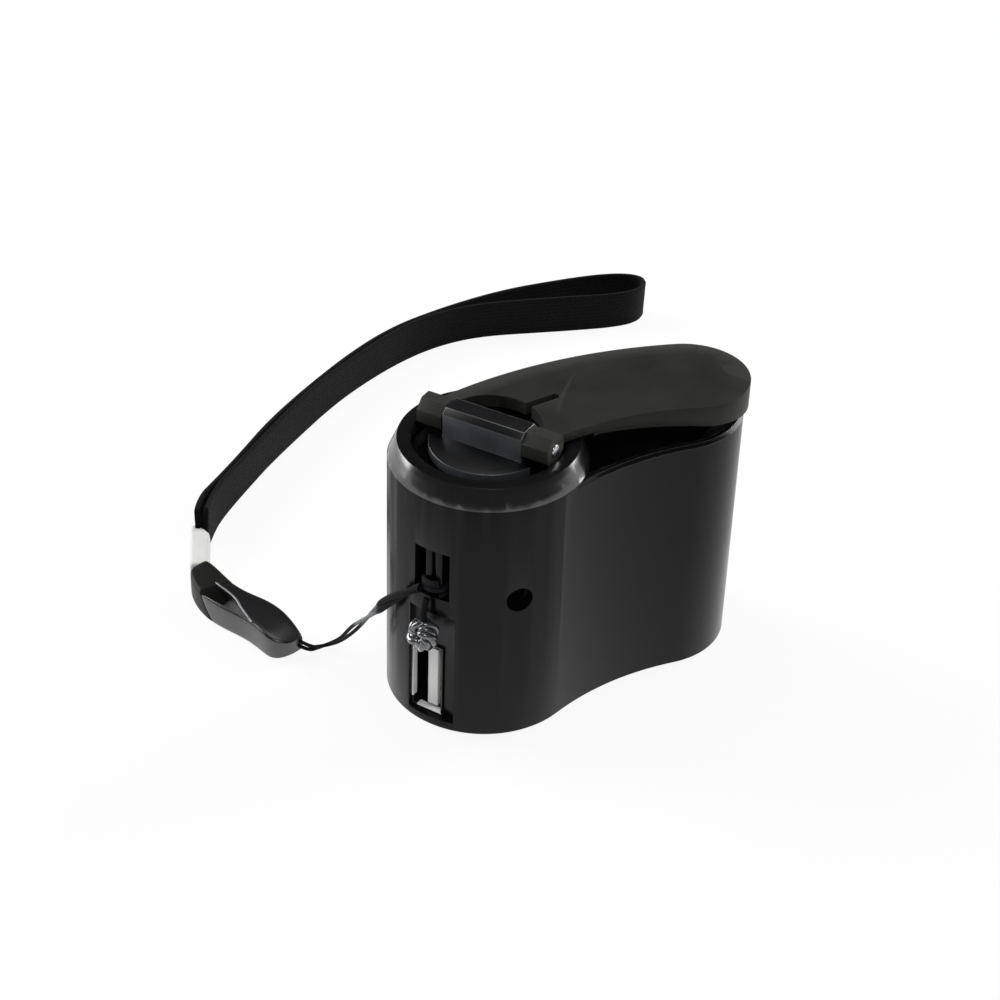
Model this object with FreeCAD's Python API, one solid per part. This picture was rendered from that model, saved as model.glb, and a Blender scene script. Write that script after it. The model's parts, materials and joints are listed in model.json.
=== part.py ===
import FreeCAD, Part
import math
import os

from FreeCAD import Vector

# Hand crank phone charger: a kidney-shaped casing that stands on its base, with a folding crank
# on top, a three-mesh step-up gear train to a small generator, a USB socket in the end wall and a
# wrist lanyard with a quick-release buckle.
# Millimetres. The origin is on the crank's turning axis at the base, +X runs from the crank's hub
# to the casing's far tip, +Z is up and -Y is the hollow front.

# ---- driving dimensions ----

# General fits
fit_gap = 0.02            # radial, pieces that are pressed or screwed together
running_gap = 0.05        # radial, shafts that turn in their holes
slip_gap = 0.1            # faces that slide past each other
end_room = 0.5            # depth of a screw's hole beyond its end
screw_slot_width = 0.5
bend_share = 0.45         # of a cord's run, taken up by the bend at its end

# Casing outline: a hub circle and a tip circle joined by a hollow front and a bulged back
hub_radius = 15.4
tip_radius = 13.2
hub_to_tip = 31.4
hollow_radius = 46.4
bulge_radius = 60.0
casing_wall = 1.8
rim_height = 42.6         # top edge of the casing round the tip
edge_bevel = 0.5

# Scooped bed under the folded crank
rim_width = 1.2
bed_inset = 5.0
bed_depth = 3.2
bed_height = rim_height - bed_depth
ceiling_height = bed_height - casing_wall

# Collar round the crank's hub
collar_rise = 3.2
collar_height = rim_height + collar_rise
collar_top_radius = hub_radius - 1.42
recess_radius = collar_top_radius - 2.08
recess_depth = 3.0
recess_floor = collar_height - recess_depth
pocket_radius = recess_radius + 0.6      # lightening groove under the recess
pocket_top = recess_floor - 2.0
bearing_boss_radius = 6.0

# Base cover
cover_thickness = 1.2
cover_inset = 0.9         # rabbet that the cover sits in
base_post_angle_hub = 138.2       # places along the outline, seen from its circles' centres
base_post_angle_back = 86.9
base_post_inset_hub = 2.65        # from the casing's outer face to a post's middle
base_post_inset_front = 3.93
base_post_inset_back = 3.61
post_can_gap = 0.27               # between the front post and the generator
base_post_radius = 2.4
base_post_top = 8.5
base_thread_radius = 0.85
base_head_radius = 1.8
base_head_height = 0.95
base_screw_length = 6.5
cross_length = 2.2
cross_width = 0.4
cross_depth = 0.5

# USB socket in the hub's end wall. Its own frame has X outwards along port_angle and Y beside it.
port_angle = -153.3
port_recess_width = 8.2
port_recess_bottom = 1.8
port_recess_top = 22.2
port_recess_depth = 1.5
port_recess_floor = hub_radius - port_recess_depth
port_pad_depth = 1.6
shell_width = 5.72
shell_height = 13.1
shell_length = 14.0
shell_sheet = 0.3
shell_bottom = 2.0
shell_offset = -1.3       # the shell's middle, beside the recess's middle
shell_mouth = port_recess_floor + 0.3
tongue_thickness = 1.84
tongue_offset = 0.85      # the tongue's middle, beside the shell's middle
tongue_height = 11.1
tongue_mouth_setback = 0.4
tongue_block_length = 2.6
contact_pitch = 2.5
contact_width = 1.0
contact_thickness = 0.2
contact_setback = 1.0

# Lanyard pocket above the socket, with a bar across it
lanyard_pocket_width = 6.2
lanyard_pocket_bottom = 25.3
lanyard_pocket_top = 33.8
lanyard_pocket_floor = hub_radius - 4.5
lanyard_liner = 0.9
lanyard_bar_radius = 1.2
lanyard_bar_place = hub_radius - 1.8
lanyard_bar_grip = 0.5

# Charge light
led_angle = -101.3
led_height = 26.15
led_hole_radius = 2.1
led_hole_depth = hub_radius - 2.1
led_radius = 1.5
led_flange_radius = 1.9
led_flange_thickness = 1.0
led_back = hub_radius - 7.8
led_length = 5.3
led_boss_radius = 3.0
led_lead_radius = 0.3
led_lead_pitch = 2.54

# Circuit board, on edge beside the USB shell, in the USB socket's frame
board_thickness = 1.6
board_inner_end = -6.5
board_outer_end = port_recess_floor - 2.4
board_bottom = 2.0
board_top = 28.0
board_rib_places = [-4.6, board_outer_end - 2.9]
board_rib_length = 2.6
board_rib_height = 7.0
board_rib_wall = 1.4
component_place = -3.6    # the capacitor and the inductor, along the board
component_gap = 0.4
lead_gap = 0.78           # between the capacitor and the light's leads above it
capacitor_radius = 2.5
capacitor_length = 5.4
capacitor_groove_bottom = 4.2
capacitor_groove_top = 4.5
capacitor_groove_depth = 0.2
capacitor_height = led_height - led_lead_pitch / 2 - led_lead_radius - lead_gap - capacitor_radius
inductor_radius = 2.6
inductor_core_radius = 1.7
inductor_length = 3.2
inductor_flange = 0.8
inductor_height = capacitor_height - capacitor_radius - component_gap - inductor_radius
chip_place = 4.4
chip_height = 20.4
chip_length = 4.0
chip_width = 4.8
chip_bottom = 0.15
chip_top = 1.6
chip_lead_reach = 1.0
chip_lead_width = 0.4
chip_lead_pitch = 1.27

# Step-up gear train
gear_module = 0.6
pressure_angle = 25.0
addendum_share = 0.8
dedendum_share = 1.05
backlash = 0.08
drive_teeth = 36
first_pinion_teeth = 10
first_wheel_teeth = 30
second_pinion_teeth = 10
second_wheel_teeth = 20
generator_pinion_teeth = 8
first_idler_bearing_angle = 8.0
gear_width = 2.2
gear_layer_gap = 0.8
drive_layer_gap = 1.0
drive_rim_width = 2.2
drive_boss_width = 1.6
drive_web_depth = 0.8
generator_gear_bottom = 28.8
idler_shaft_radius = 1.0
idler_hub_radius = 2.4
spacer_radius = 1.8
ceiling_socket_depth = 1.0
gear_end_float = 0.1

# Gear plate
plate_bottom = 26.6
plate_thickness = 1.6
plate_inset = 2.1
plate_left_end = 6.5
plate_post_angle_hub = -42.4
plate_post_angle_back = 83.9
plate_post_inset_hub = 1.17
plate_post_inset_back = 3.87
plate_post_radius = 2.0
plate_thread_radius = 0.75
plate_head_radius = 1.5
plate_head_height = 0.8
plate_screw_length = 6.0

# Generator
can_radius = 9.8
can_sheet = 0.6
can_bottom = 8.6
end_cap_thickness = 1.8
stator_bottom = 12.5
stator_height = 10.0
stator_ring = 1.5
stator_poles = 6
pole_width = 2.0
magnet_radius = 5.6
air_gap = 0.4
coil_wrap = 0.9
coil_back_gap = 0.3
rotor_shaft_radius = 1.0
rotor_shaft_foot = 9.5
bush_radius = 2.2
bush_length = 2.0
pedestal_wall = 1.8

# Crank hub on its shaft
hub_disc_radius = 9.2
hub_disc_thickness = 1.6
hub_shaft_radius = 2.5
hub_shaft_flat = 2.0
bush_outer_radius = 4.0
bush_flange_radius = 5.2
bush_flange = 0.5
washer_radius = 3.2
washer_thickness = 0.5
hub_screw_head_radius = 2.2
hub_screw_head_height = 1.5
hub_screw_radius = 1.0
hub_screw_length = 5.0
hub_screw_end_gap = 0.2

# Folding hinge between the hub and the crank arm, across the hub's axis
hinge_angle = -60.65
hinge_rise = 1.4          # the hinge's axis above the collar
hinge_height = collar_height + hinge_rise
barrel_radius = 2.45      # half of the barrel's width and its height above the axis
barrel_chamfer = 0.9
barrel_half = 6.8
barrel_gap = 0.05
ear_radius = 2.5          # to the flats of the eight-sided ears
ear_sides = 8
ear_clearance = 0.4
ear_inner = barrel_half + 0.2
ear_outer = recess_radius - 0.6
pin_radius = 1.0
pin_half = ear_outer + 0.15

# Crank arm
root_radius = recess_radius - 0.9
root_cutout_radius = barrel_half + 1.3
end_radius = 9.6
end_overhang = 3.8        # the arm's end centre beyond the casing's tip centre
end_shift = -2.0
arm_back_radius = 75.0
arm_front_radius = 46.0
root_corner_angle = -41.0
arm_rise = 1.8            # the arm's upper edge above the collar
arm_edge_height = collar_height + arm_rise
crown_rise = 0.6
arm_crown_height = arm_edge_height + crown_rise
crown_inset = 4.0
arm_collar_gap = 0.3
arm_underside = collar_height + arm_collar_gap
arm_wall = 1.3
arm_skin = 0.7
collar_clear_radius = hub_radius + 0.5
skirt_root_drop = 2.0
skirt_end_drop = 4.6
arm_slot_start = Vector(root_cutout_radius - 0.5, 1.6, 0)
arm_slot_length = 5.2
arm_slot_angle = 3.3
arm_slot_width = 1.3

# Finger knob
knob_radius = 6.0
knob_height = 3.8
knob_bottom = bed_height + 3.5
knob_bevel = 0.6
knob_dish_depth = 0.5
knob_shoulder_radius = 1.6
knob_head_radius = 2.8
knob_head_height = 0.8
knob_head_setback = 0.2
knob_thread_radius = 1.0
knob_thread_length = 1.2
knob_thread_end_gap = 0.2
knob_grips = 12
knob_grip_radius = 0.9

# Lanyard: a thin cord from the pocket's bar to the buckle's nose
cord_radius = 0.55
cord_route = [
    Vector(-15.1, -6.0, 26.9),
    Vector(-16.6, -4.2, 25.4),
    Vector(-17.4, -0.4, 21.6),
    Vector(-17.7, 3.8, 16.8),
    Vector(-17.5, 8.4, 11.6),
    Vector(-17.2, 12.8, 6.6),
    Vector(-17.2, 16.2, 2.6),
    Vector(-18.2, 18.0, 0.85),
    Vector(-20.2, 18.1, 0.85),
    Vector(-22.2, 17.4, 1.7),
    Vector(-23.4, 18.8, 2.3),
]
knot_tail_route = [
    Vector(-14.6, -7.2, 25.4),
    Vector(-15.3, -7.3, 23.4),
    Vector(-15.1, -7.2, 21.4),
]
knot_stand_off = 1.46     # beyond the casing's end wall
knot_angle = -154.3
knot_height = 18.9
knot_radii = (1.9, 2.6, 2.6)

# Quick-release buckle, lying on the surface. Its own frame has X along it to the cord's end.
buckle_middle = Vector(-29.33, 34.0, 0)
buckle_angle = -73.0
buckle_height = 4.8
buckle_parting = -0.7
plug_end = -9.8
nose_end = 16.2
buckle_left_side = [(plug_end, 3.9), (-5.5, 3.9), (1.4, 2.8), (6.3, 3.7), (12.0, 2.9), (nose_end, 1.9)]
buckle_right_side = [(plug_end, 1.4), (-8.6, -0.3), (-6.0, -1.9), (-1.6, -3.3), (3.0, -3.25), (7.8, -2.75),
                     (12.0, -3.1), (14.7, -2.7), (nose_end, -0.7)]
nose_slope_length = 6.0   # the nose's top comes down over this length
nose_foot_length = 3.5    # and its underside rises over this one
nose_face_low = 1.2
nose_face_high = 3.4
plug_foot_length = 1.2
plug_foot_rise = 0.5
plug_top_length = 2.0
plug_top_drop = 1.0
buckle_wall = 1.1
buckle_pocket_length = 10.0
buckle_pocket_half = 2.1
prong_width = 0.9
prong_length = 7.6
prong_root = 0.5
prong_gap = 0.3
barb_height = 0.8
barb_end_height = 0.1
barb_end_length = 0.4
guide_width = 1.0
window_start = 3.2
window_length = 4.6
window_lip = 0.2
plug_bar = 1.2
plug_slot_length = 1.8
plug_slot_side = 2.1
plug_slot_half = 1.15
plug_bar_height = 1.9

# Ferrule that gathers the strap's ends, with an eye round the plug's end bar
ferrule_gap = 1.4         # from the plug's end bar to the ferrule, along the buckle
ferrule_side = 4.2        # and beside the buckle's middle line
ferrule_angle = 64.5
ferrule_length = 8.8
ferrule_mouth_slant = 40.0
ferrule_width = 3.4
ferrule_height = 3.6
eye_height = 2.4
eye_radius = 1.75
eye_wire_radius = 0.45
eye_neck_radius = 0.55

# Wrist strap: one band that runs out and back, on edge, from the ferrule. Out and back lie face to
# face for the first half and open into a loop at the far end.
strap_width = 7.7
strap_thickness = 0.8
strap_end_gap = 0.1
strap_end_spread = 0.55
strap_foot_depth = 2.5    # how far inside the ferrule the band's line begins
strap_route_out = [
    Vector(-22.3, 56.4, 0),
    Vector(-17.6, 60.6, 0),
    Vector(-9.5, 66.6, 0),
    Vector(-0.95, 73.05, 0),
    Vector(11.2, 81.0, 0),
    Vector(23.1, 87.3, 0),
    Vector(35.3, 92.3, 0),
    Vector(45.3, 94.0, 0),
    Vector(54.3, 93.2, 0),
    Vector(64.0, 89.8, 0),
    Vector(73.0, 86.3, 0),
    Vector(80.5, 83.5, 0),
    Vector(85.8, 83.1, 0),
]
strap_route_back = [
    Vector(89.0, 85.6, 0),
    Vector(88.2, 88.4, 0),
    Vector(84.4, 90.9, 0),
    Vector(78.4, 92.8, 0),
    Vector(71.4, 94.1, 0),
    Vector(63.0, 95.2, 0),
    Vector(54.2, 95.4, 0),
    Vector(45.2, 94.95, 0),
    Vector(35.0, 93.25, 0),
    Vector(22.65, 88.17, 0),
    Vector(10.7, 81.85, 0),
    Vector(-1.5, 73.85, 0),
    Vector(-10.1, 67.35, 0),
    Vector(-18.25, 61.3, 0),
    Vector(-23.1, 57.0, 0),
]

os.makedirs("parts", exist_ok=True)


# ---- small helpers ----

def save(name, *solids):
    shape = solids[0] if len(solids) == 1 else Part.makeCompound(list(solids))
    shape.exportStep("parts/" + name + ".step")
    print(name, "volume", round(shape.Volume, 2), "valid", shape.isValid())


def rod(radius, bottom, top, place=Vector(0, 0, 0)):
    return Part.makeCylinder(radius, top - bottom, Vector(place.x, place.y, bottom))


def tube(outer, inner, bottom, top, place=Vector(0, 0, 0)):
    return rod(outer, bottom, top, place).cut(rod(inner, bottom, top, place))


def block(x0, x1, y0, y1, z0, z1):
    return Part.makeBox(x1 - x0, y1 - y0, z1 - z0, Vector(x0, y0, z0))


def turned(shape, angle, place=Vector(0, 0, 0)):
    # Carries a shape from its own frame to the casing's: turned about Z, then moved.
    result = shape.copy()
    result.rotate(Vector(0, 0, 0), Vector(0, 0, 1), angle)
    result.translate(place)
    return result


def screw_slot(head_radius, head_bottom, head_height):
    # The driver's slot across the underside of a screw head.
    half = screw_slot_width / 2
    return block(-head_radius, head_radius, -half, half, head_bottom, head_bottom + head_height / 2)


def polar(radius, angle, z=0.0):
    return Vector(radius * math.cos(math.radians(angle)), radius * math.sin(math.radians(angle)), z)


def towards(start, end, distance):
    return start + (end - start).normalize() * distance


def meeting(first, first_distance, second, second_distance, side):
    # The point at the two given distances from two centres, on the left (+1) or right (-1) of them.
    line = second - first
    span = line.Length
    along = (first_distance ** 2 - second_distance ** 2 + span ** 2) / (2 * span)
    across = math.sqrt(first_distance ** 2 - along ** 2)
    line.normalize()
    return first + line * along + Vector(-line.y, line.x, 0) * across * side


def arc_edge(centre, start, end, turn):
    # The arc about centre from start to end, turning anticlockwise (+1) or clockwise (-1).
    first = math.atan2(start.y - centre.y, start.x - centre.x)
    last = math.atan2(end.y - centre.y, end.x - centre.x)
    sweep = ((last - first) * turn) % (2 * math.pi)
    middle = math.degrees(first + turn * sweep / 2)
    radius = math.hypot(start.x - centre.x, start.y - centre.y)
    halfway = Vector(centre.x, centre.y, start.z) + polar(radius, middle)
    return Part.Arc(start, halfway, end).toShape()


def slab(outline, inset, bottom, top):
    return Part.Face(outline(inset, bottom)).extrude(Vector(0, 0, top - bottom))


def bevelled_slab(outline, inset_low, bottom, inset_high, top):
    return Part.makeLoft([outline(inset_low, bottom), outline(inset_high, top)], True, True)


def rounded_path(points):
    # Straight runs joined by tangent arcs, each as large as its two runs allow.
    edges = []
    radii = []
    here = points[0]
    for before, corner, after in zip(points, points[1:], points[2:]):
        arriving = (corner - before).normalize()
        leaving = (after - corner).normalize()
        turn = arriving.getAngle(leaving)
        reach = bend_share * min((corner - before).Length, (after - corner).Length)
        start = corner - arriving * reach
        end = corner + leaving * reach
        radius = reach / math.tan(turn / 2)
        inward = (leaving - arriving).normalize()
        middle = corner + inward * (radius / math.cos(turn / 2) - radius)
        edges.append(Part.LineSegment(here, start).toShape())
        edges.append(Part.Arc(start, middle, end).toShape())
        radii.append(round(radius, 1))
        here = end
    edges.append(Part.LineSegment(here, points[-1]).toShape())
    return Part.Wire(edges), radii


def cord_tube(points, radius):
    path, radii = rounded_path(points)
    section = Part.Wire(Part.makeCircle(radius, points[0], points[1] - points[0]))
    solid = path.makePipeShell([section], True, False)
    expected = math.pi * radius ** 2 * path.Length
    print("cord length", round(path.Length, 2), "radii", radii,
          "volume share", round(solid.Volume / expected, 4))
    return solid


# ---- outlines ----

hub_centre = Vector(0, 0, 0)
tip_centre = Vector(hub_to_tip, 0, 0)
hollow_centre = meeting(hub_centre, hub_radius + hollow_radius, tip_centre, tip_radius + hollow_radius, -1)
bulge_centre = meeting(hub_centre, bulge_radius - hub_radius, tip_centre, bulge_radius - tip_radius, -1)
end_centre = tip_centre + Vector(end_overhang, end_shift, 0)


def casing_outline(inset, z):
    lift = Vector(0, 0, z)
    hub_front = towards(hub_centre, hollow_centre, hub_radius - inset) + lift
    tip_front = towards(tip_centre, hollow_centre, tip_radius - inset) + lift
    tip_back = towards(tip_centre, bulge_centre, inset - tip_radius) + lift
    hub_back = towards(hub_centre, bulge_centre, inset - hub_radius) + lift
    return Part.Wire([
        arc_edge(hub_centre, hub_back, hub_front, 1),
        arc_edge(hollow_centre, hub_front, tip_front, -1),
        arc_edge(tip_centre, tip_front, tip_back, 1),
        arc_edge(bulge_centre, tip_back, hub_back, 1),
    ])


root_corner = polar(root_radius, root_corner_angle)
arm_front_centre = meeting(root_corner, arm_front_radius, end_centre, arm_front_radius + end_radius, -1)
arm_back_centre = meeting(hub_centre, arm_back_radius - root_radius,
                          end_centre, arm_back_radius - end_radius, -1)


def arm_outline(inset, z):
    # The root circle round the hub, cut off along the hinge, and the round end, joined by two arcs.
    lift = Vector(0, 0, z)
    radius = root_radius - inset
    near_ear = polar(radius, hinge_angle) + lift
    corner = meeting(hub_centre, radius, arm_front_centre, arm_front_radius + inset, 1) + lift
    end_front = towards(end_centre, arm_front_centre, end_radius - inset) + lift
    end_back = towards(end_centre, arm_back_centre, inset - end_radius) + lift
    root_back = towards(hub_centre, arm_back_centre, inset - root_radius) + lift
    far_ear = polar(radius, hinge_angle + 180) + lift
    return Part.Wire([
        arc_edge(hub_centre, near_ear, corner, 1),
        arc_edge(arm_front_centre, corner, end_front, -1),
        arc_edge(end_centre, end_front, end_back, 1),
        arc_edge(arm_back_centre, end_back, root_back, 1),
        arc_edge(hub_centre, root_back, far_ear, 1),
        Part.LineSegment(far_ear, near_ear).toShape(),
    ])


# ---- places that follow from the driving dimensions ----

cover_top = cover_thickness
shell_middle_z = shell_bottom + shell_height / 2
shell_left = shell_offset - shell_width / 2
shell_right = shell_offset + shell_width / 2
board_face = shell_left
board_back = board_face - board_thickness
generator_place = tip_centre
front_post_place = meeting(hollow_centre, hollow_radius + base_post_inset_front,
                           generator_place, can_radius + base_post_radius + post_can_gap, 1)
base_screw_places = [
    polar(hub_radius - base_post_inset_hub, base_post_angle_hub),
    bulge_centre + polar(bulge_radius - base_post_inset_back, base_post_angle_back),
    front_post_place,
]
plate_screw_places = [
    polar(hub_radius - plate_post_inset_hub, plate_post_angle_hub),
    bulge_centre + polar(bulge_radius - plate_post_inset_back, plate_post_angle_back),
    front_post_place,
]
knot_centre = polar(hub_radius + knot_stand_off, knot_angle, knot_height)


def pitch_radius(teeth):
    return gear_module * teeth / 2


first_idler_place = polar(pitch_radius(drive_teeth + first_pinion_teeth), first_idler_bearing_angle)
second_idler_place = meeting(
    first_idler_place, pitch_radius(first_wheel_teeth + second_pinion_teeth),
    generator_place, pitch_radius(second_wheel_teeth + generator_pinion_teeth), 1)

# The three layers of gears, from the generator's pinion up to the drive gear
low_layer = generator_gear_bottom
middle_layer = low_layer + gear_width + gear_layer_gap
top_layer = middle_layer + gear_width + drive_layer_gap
drive_gear_top = top_layer + gear_width
plate_top = plate_bottom + plate_thickness
hub_disc_bottom = recess_floor + bush_flange + slip_gap
hub_disc_top = hub_disc_bottom + hub_disc_thickness
can_inner_radius = can_radius - can_sheet
knob_top = knob_bottom + knob_height
arm_ceiling = arm_edge_height - arm_skin


# ---- casing ----

def led_rod(radius, start, end):
    axis = polar(1, led_angle)
    return Part.makeCylinder(radius, end - start, polar(start, led_angle, led_height), axis)


def casing_cavity():
    # The hollow inside, less everything that stands in it.
    cavity = slab(casing_outline, casing_wall, 0, ceiling_height)
    groove = tube(pocket_radius, bearing_boss_radius, ceiling_height - 1, pocket_top)
    cavity = cavity.fuse(groove)
    pad = block(port_recess_floor - port_pad_depth, hub_radius, -shell_width, shell_width,
                cover_top, port_recess_top + port_pad_depth)
    liner = block(lanyard_pocket_floor - lanyard_liner, hub_radius,
                  -lanyard_pocket_width / 2 - lanyard_liner, lanyard_pocket_width / 2 + lanyard_liner,
                  lanyard_pocket_bottom - lanyard_liner, lanyard_pocket_top + lanyard_liner)
    standing = [turned(pad, port_angle), turned(liner, port_angle)]
    standing.append(led_rod(led_boss_radius, led_back + led_flange_thickness, hub_radius))
    for place in base_screw_places:
        standing.append(rod(base_post_radius, cover_top, base_post_top, place))
    for place in plate_screw_places:
        standing.append(rod(plate_post_radius, plate_top, ceiling_height, place))
    first_boss_bottom = drive_gear_top + gear_end_float
    second_boss_bottom = middle_layer + gear_width + gear_end_float
    standing.append(rod(spacer_radius, first_boss_bottom, ceiling_height, first_idler_place))
    standing.append(rod(spacer_radius, second_boss_bottom, ceiling_height, second_idler_place))
    return cavity.cut(Part.makeCompound(standing))


def main_housing():
    shell = bevelled_slab(casing_outline, edge_bevel, 0, 0, edge_bevel)
    shell = shell.fuse(slab(casing_outline, 0, edge_bevel, rim_height - edge_bevel))
    shell = shell.fuse(bevelled_slab(casing_outline, 0, rim_height - edge_bevel, edge_bevel, rim_height))
    shell = shell.fuse(rod(hub_radius, edge_bevel, rim_height))
    shell = shell.fuse(Part.makeCone(hub_radius, collar_top_radius, collar_height - rim_height,
                                     Vector(0, 0, rim_height)))
    scoop = bevelled_slab(casing_outline, bed_inset, bed_height, rim_width, rim_height)
    scoop = scoop.cut(rod(hub_radius, bed_height - 1, rim_height + 1))
    shell = shell.cut(scoop).cut(casing_cavity())
    shell = shell.cut(slab(casing_outline, cover_inset, 0, cover_top))
    shell = shell.cut(rod(recess_radius, recess_floor, collar_height))
    shell = shell.cut(rod(bush_outer_radius + fit_gap, ceiling_height, recess_floor))

    half = port_recess_width / 2
    recess = block(port_recess_floor, hub_radius + 1, -half, half, port_recess_bottom, port_recess_top)
    mouth = block(port_recess_floor - port_pad_depth, hub_radius,
                  shell_left - slip_gap, shell_right + slip_gap,
                  shell_bottom - slip_gap, shell_bottom + shell_height + slip_gap)
    half = lanyard_pocket_width / 2
    pocket = block(lanyard_pocket_floor, hub_radius + 1, -half, half,
                   lanyard_pocket_bottom, lanyard_pocket_top)
    bar_hole = rod(lanyard_bar_radius + fit_gap, lanyard_pocket_bottom - lanyard_bar_grip,
                   lanyard_pocket_top + lanyard_bar_grip, Vector(lanyard_bar_place, 0, 0))
    for cutter in (recess, mouth, pocket, bar_hole):
        shell = shell.cut(turned(cutter, port_angle))

    shell = shell.cut(led_rod(led_hole_radius, led_hole_depth, hub_radius + 1))
    shell = shell.cut(led_rod(led_radius + fit_gap, led_back, led_hole_depth))
    for place in base_screw_places:
        shell = shell.cut(rod(base_thread_radius + fit_gap, 0, base_screw_length + end_room, place))
    for place in plate_screw_places:
        hole_top = plate_bottom + plate_screw_length + end_room
        shell = shell.cut(rod(plate_thread_radius + fit_gap, plate_bottom, hole_top, place))
    for place in (first_idler_place, second_idler_place):
        socket_top = ceiling_height + ceiling_socket_depth
        shell = shell.cut(rod(idler_shaft_radius + fit_gap, plate_top, socket_top, place))
    return shell.removeSplitter()


def base_cover():
    cover = slab(casing_outline, cover_inset + running_gap, 0, cover_thickness)
    cover = cover.fuse(tube(can_radius, can_radius - pedestal_wall, cover_thickness, can_bottom,
                            generator_place))
    slot = block(board_inner_end - 1, board_outer_end + 1, board_back - running_gap,
                 board_face + running_gap, board_bottom, board_top)
    for place in board_rib_places:
        front = board_face + board_rib_wall
        rib = block(place, place + board_rib_length, board_back - board_rib_wall, front,
                    cover_thickness, board_rib_height)
        over_shell = block(place, place + board_rib_length, board_face, front, shell_bottom - slip_gap,
                           board_rib_height)
        if place + board_rib_length > shell_mouth - shell_length:
            rib = rib.cut(over_shell)
        cover = cover.fuse(turned(rib.cut(slot), port_angle))
    for place in base_screw_places:
        hole_radius = base_thread_radius + slip_gap
        cover = cover.cut(Part.makeCone(base_head_radius + slip_gap, hole_radius, base_head_height, place))
        cover = cover.cut(rod(hole_radius, 0, cover_thickness, place))
    return cover


def base_screws():
    screws = []
    long_half = cross_length / 2
    short_half = cross_width / 2
    cross = block(-long_half, long_half, -short_half, short_half, 0, cross_depth)
    cross = cross.fuse(block(-short_half, short_half, -long_half, long_half, 0, cross_depth))
    for place in base_screw_places:
        head = Part.makeCone(base_head_radius, base_thread_radius, base_head_height, place)
        shank = rod(base_thread_radius, 0, base_screw_length, place)
        screws.append(head.fuse(shank).cut(turned(cross, 0, place)))
    return screws


def hub_bush():
    bush = rod(bush_outer_radius, ceiling_height, recess_floor)
    bush = bush.fuse(rod(bush_flange_radius, recess_floor, recess_floor + bush_flange))
    return bush.cut(rod(hub_shaft_radius + running_gap, ceiling_height, recess_floor + bush_flange))


def lanyard_bar():
    bar = rod(lanyard_bar_radius, lanyard_pocket_bottom - lanyard_bar_grip,
              lanyard_pocket_top + lanyard_bar_grip, Vector(lanyard_bar_place, 0, 0))
    return turned(bar, port_angle)


# ---- gear plate and shafts ----

def gear_plate():
    plate = slab(casing_outline, plate_inset, plate_bottom, plate_top)
    plate = plate.cut(block(-hub_radius, plate_left_end, -hub_radius, hub_radius, plate_bottom, plate_top))
    plate = plate.fuse(rod(spacer_radius, plate_top, middle_layer - gear_end_float, first_idler_place))
    plate = plate.fuse(rod(spacer_radius, plate_top, low_layer - gear_end_float, second_idler_place))
    for place in (first_idler_place, second_idler_place):
        plate = plate.cut(rod(idler_shaft_radius + fit_gap, plate_bottom, middle_layer, place))
    plate = plate.cut(rod(bush_radius + slip_gap, plate_bottom, plate_top, generator_place))
    for place in plate_screw_places:
        plate = plate.cut(rod(plate_thread_radius + slip_gap, plate_bottom, plate_top, place))
    return plate


def gear_plate_screws():
    screws = []
    slot = screw_slot(plate_head_radius, plate_bottom - plate_head_height, plate_head_height)
    for place in plate_screw_places:
        head = rod(plate_head_radius, plate_bottom - plate_head_height, plate_bottom, place)
        shank = rod(plate_thread_radius, plate_bottom, plate_bottom + plate_screw_length, place)
        screws.append(head.fuse(shank).cut(turned(slot, 0, place)))
    return screws


def idler_shaft(place):
    return rod(idler_shaft_radius, plate_bottom, ceiling_height + ceiling_socket_depth, place)


# ---- gears ----

def tooth_half_angle(teeth, radius):
    # Half a tooth's angle at a radius, in radians, for an involute flank thinned by the backlash.
    base = pitch_radius(teeth) * math.cos(math.radians(pressure_angle))
    slope = math.acos(min(1.0, base / radius))
    pitch_slope = math.radians(pressure_angle)
    at_pitch = math.pi / (2 * teeth) - backlash / (4 * pitch_radius(teeth))
    return at_pitch + (math.tan(pitch_slope) - pitch_slope) - (math.tan(slope) - slope)


def gear_face(teeth, phase, z):
    # A spur gear's outline. One tooth points along the phase angle, in degrees.
    root = pitch_radius(teeth) - dedendum_share * gear_module
    tip = pitch_radius(teeth) + addendum_share * gear_module
    base = pitch_radius(teeth) * math.cos(math.radians(pressure_angle))
    flank_foot = max(root, base)
    radii = [flank_foot, (flank_foot + tip) / 2, tip]
    half = [math.degrees(tooth_half_angle(teeth, radius)) for radius in radii]
    edges = []
    pitch = 360.0 / teeth
    for index in range(teeth):
        middle = phase + index * pitch
        rising = [polar(radius, middle - share, z) for radius, share in zip(radii, half)]
        falling = [polar(radius, middle + share, z) for radius, share in zip(radii, half)]
        foot = polar(root, middle - half[0], z)
        last_foot = polar(root, middle + half[0], z)
        next_foot = polar(root, middle + pitch - half[0], z)
        if root < base:
            edges.append(Part.LineSegment(foot, rising[0]).toShape())
        edges.append(Part.Arc(rising[0], rising[1], rising[2]).toShape())
        edges.append(Part.LineSegment(rising[2], falling[2]).toShape())
        edges.append(Part.Arc(falling[2], falling[1], falling[0]).toShape())
        if root < base:
            edges.append(Part.LineSegment(falling[0], last_foot).toShape())
        edges.append(Part.LineSegment(last_foot, next_foot).toShape())
    return Part.Face(Part.Wire(edges))


def gear(teeth, phase, bottom, place):
    face = gear_face(teeth, phase, bottom)
    face.translate(Vector(place.x, place.y, 0))
    return face.extrude(Vector(0, 0, gear_width))


def heading(start, end):
    return math.degrees(math.atan2(end.y - start.y, end.x - start.x))


def meshing_phase(teeth, own_place, driver_place):
    # Puts a gap on the line to the driving gear, whose tooth points along the same line.
    return heading(own_place, driver_place) + 180.0 / teeth


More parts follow.
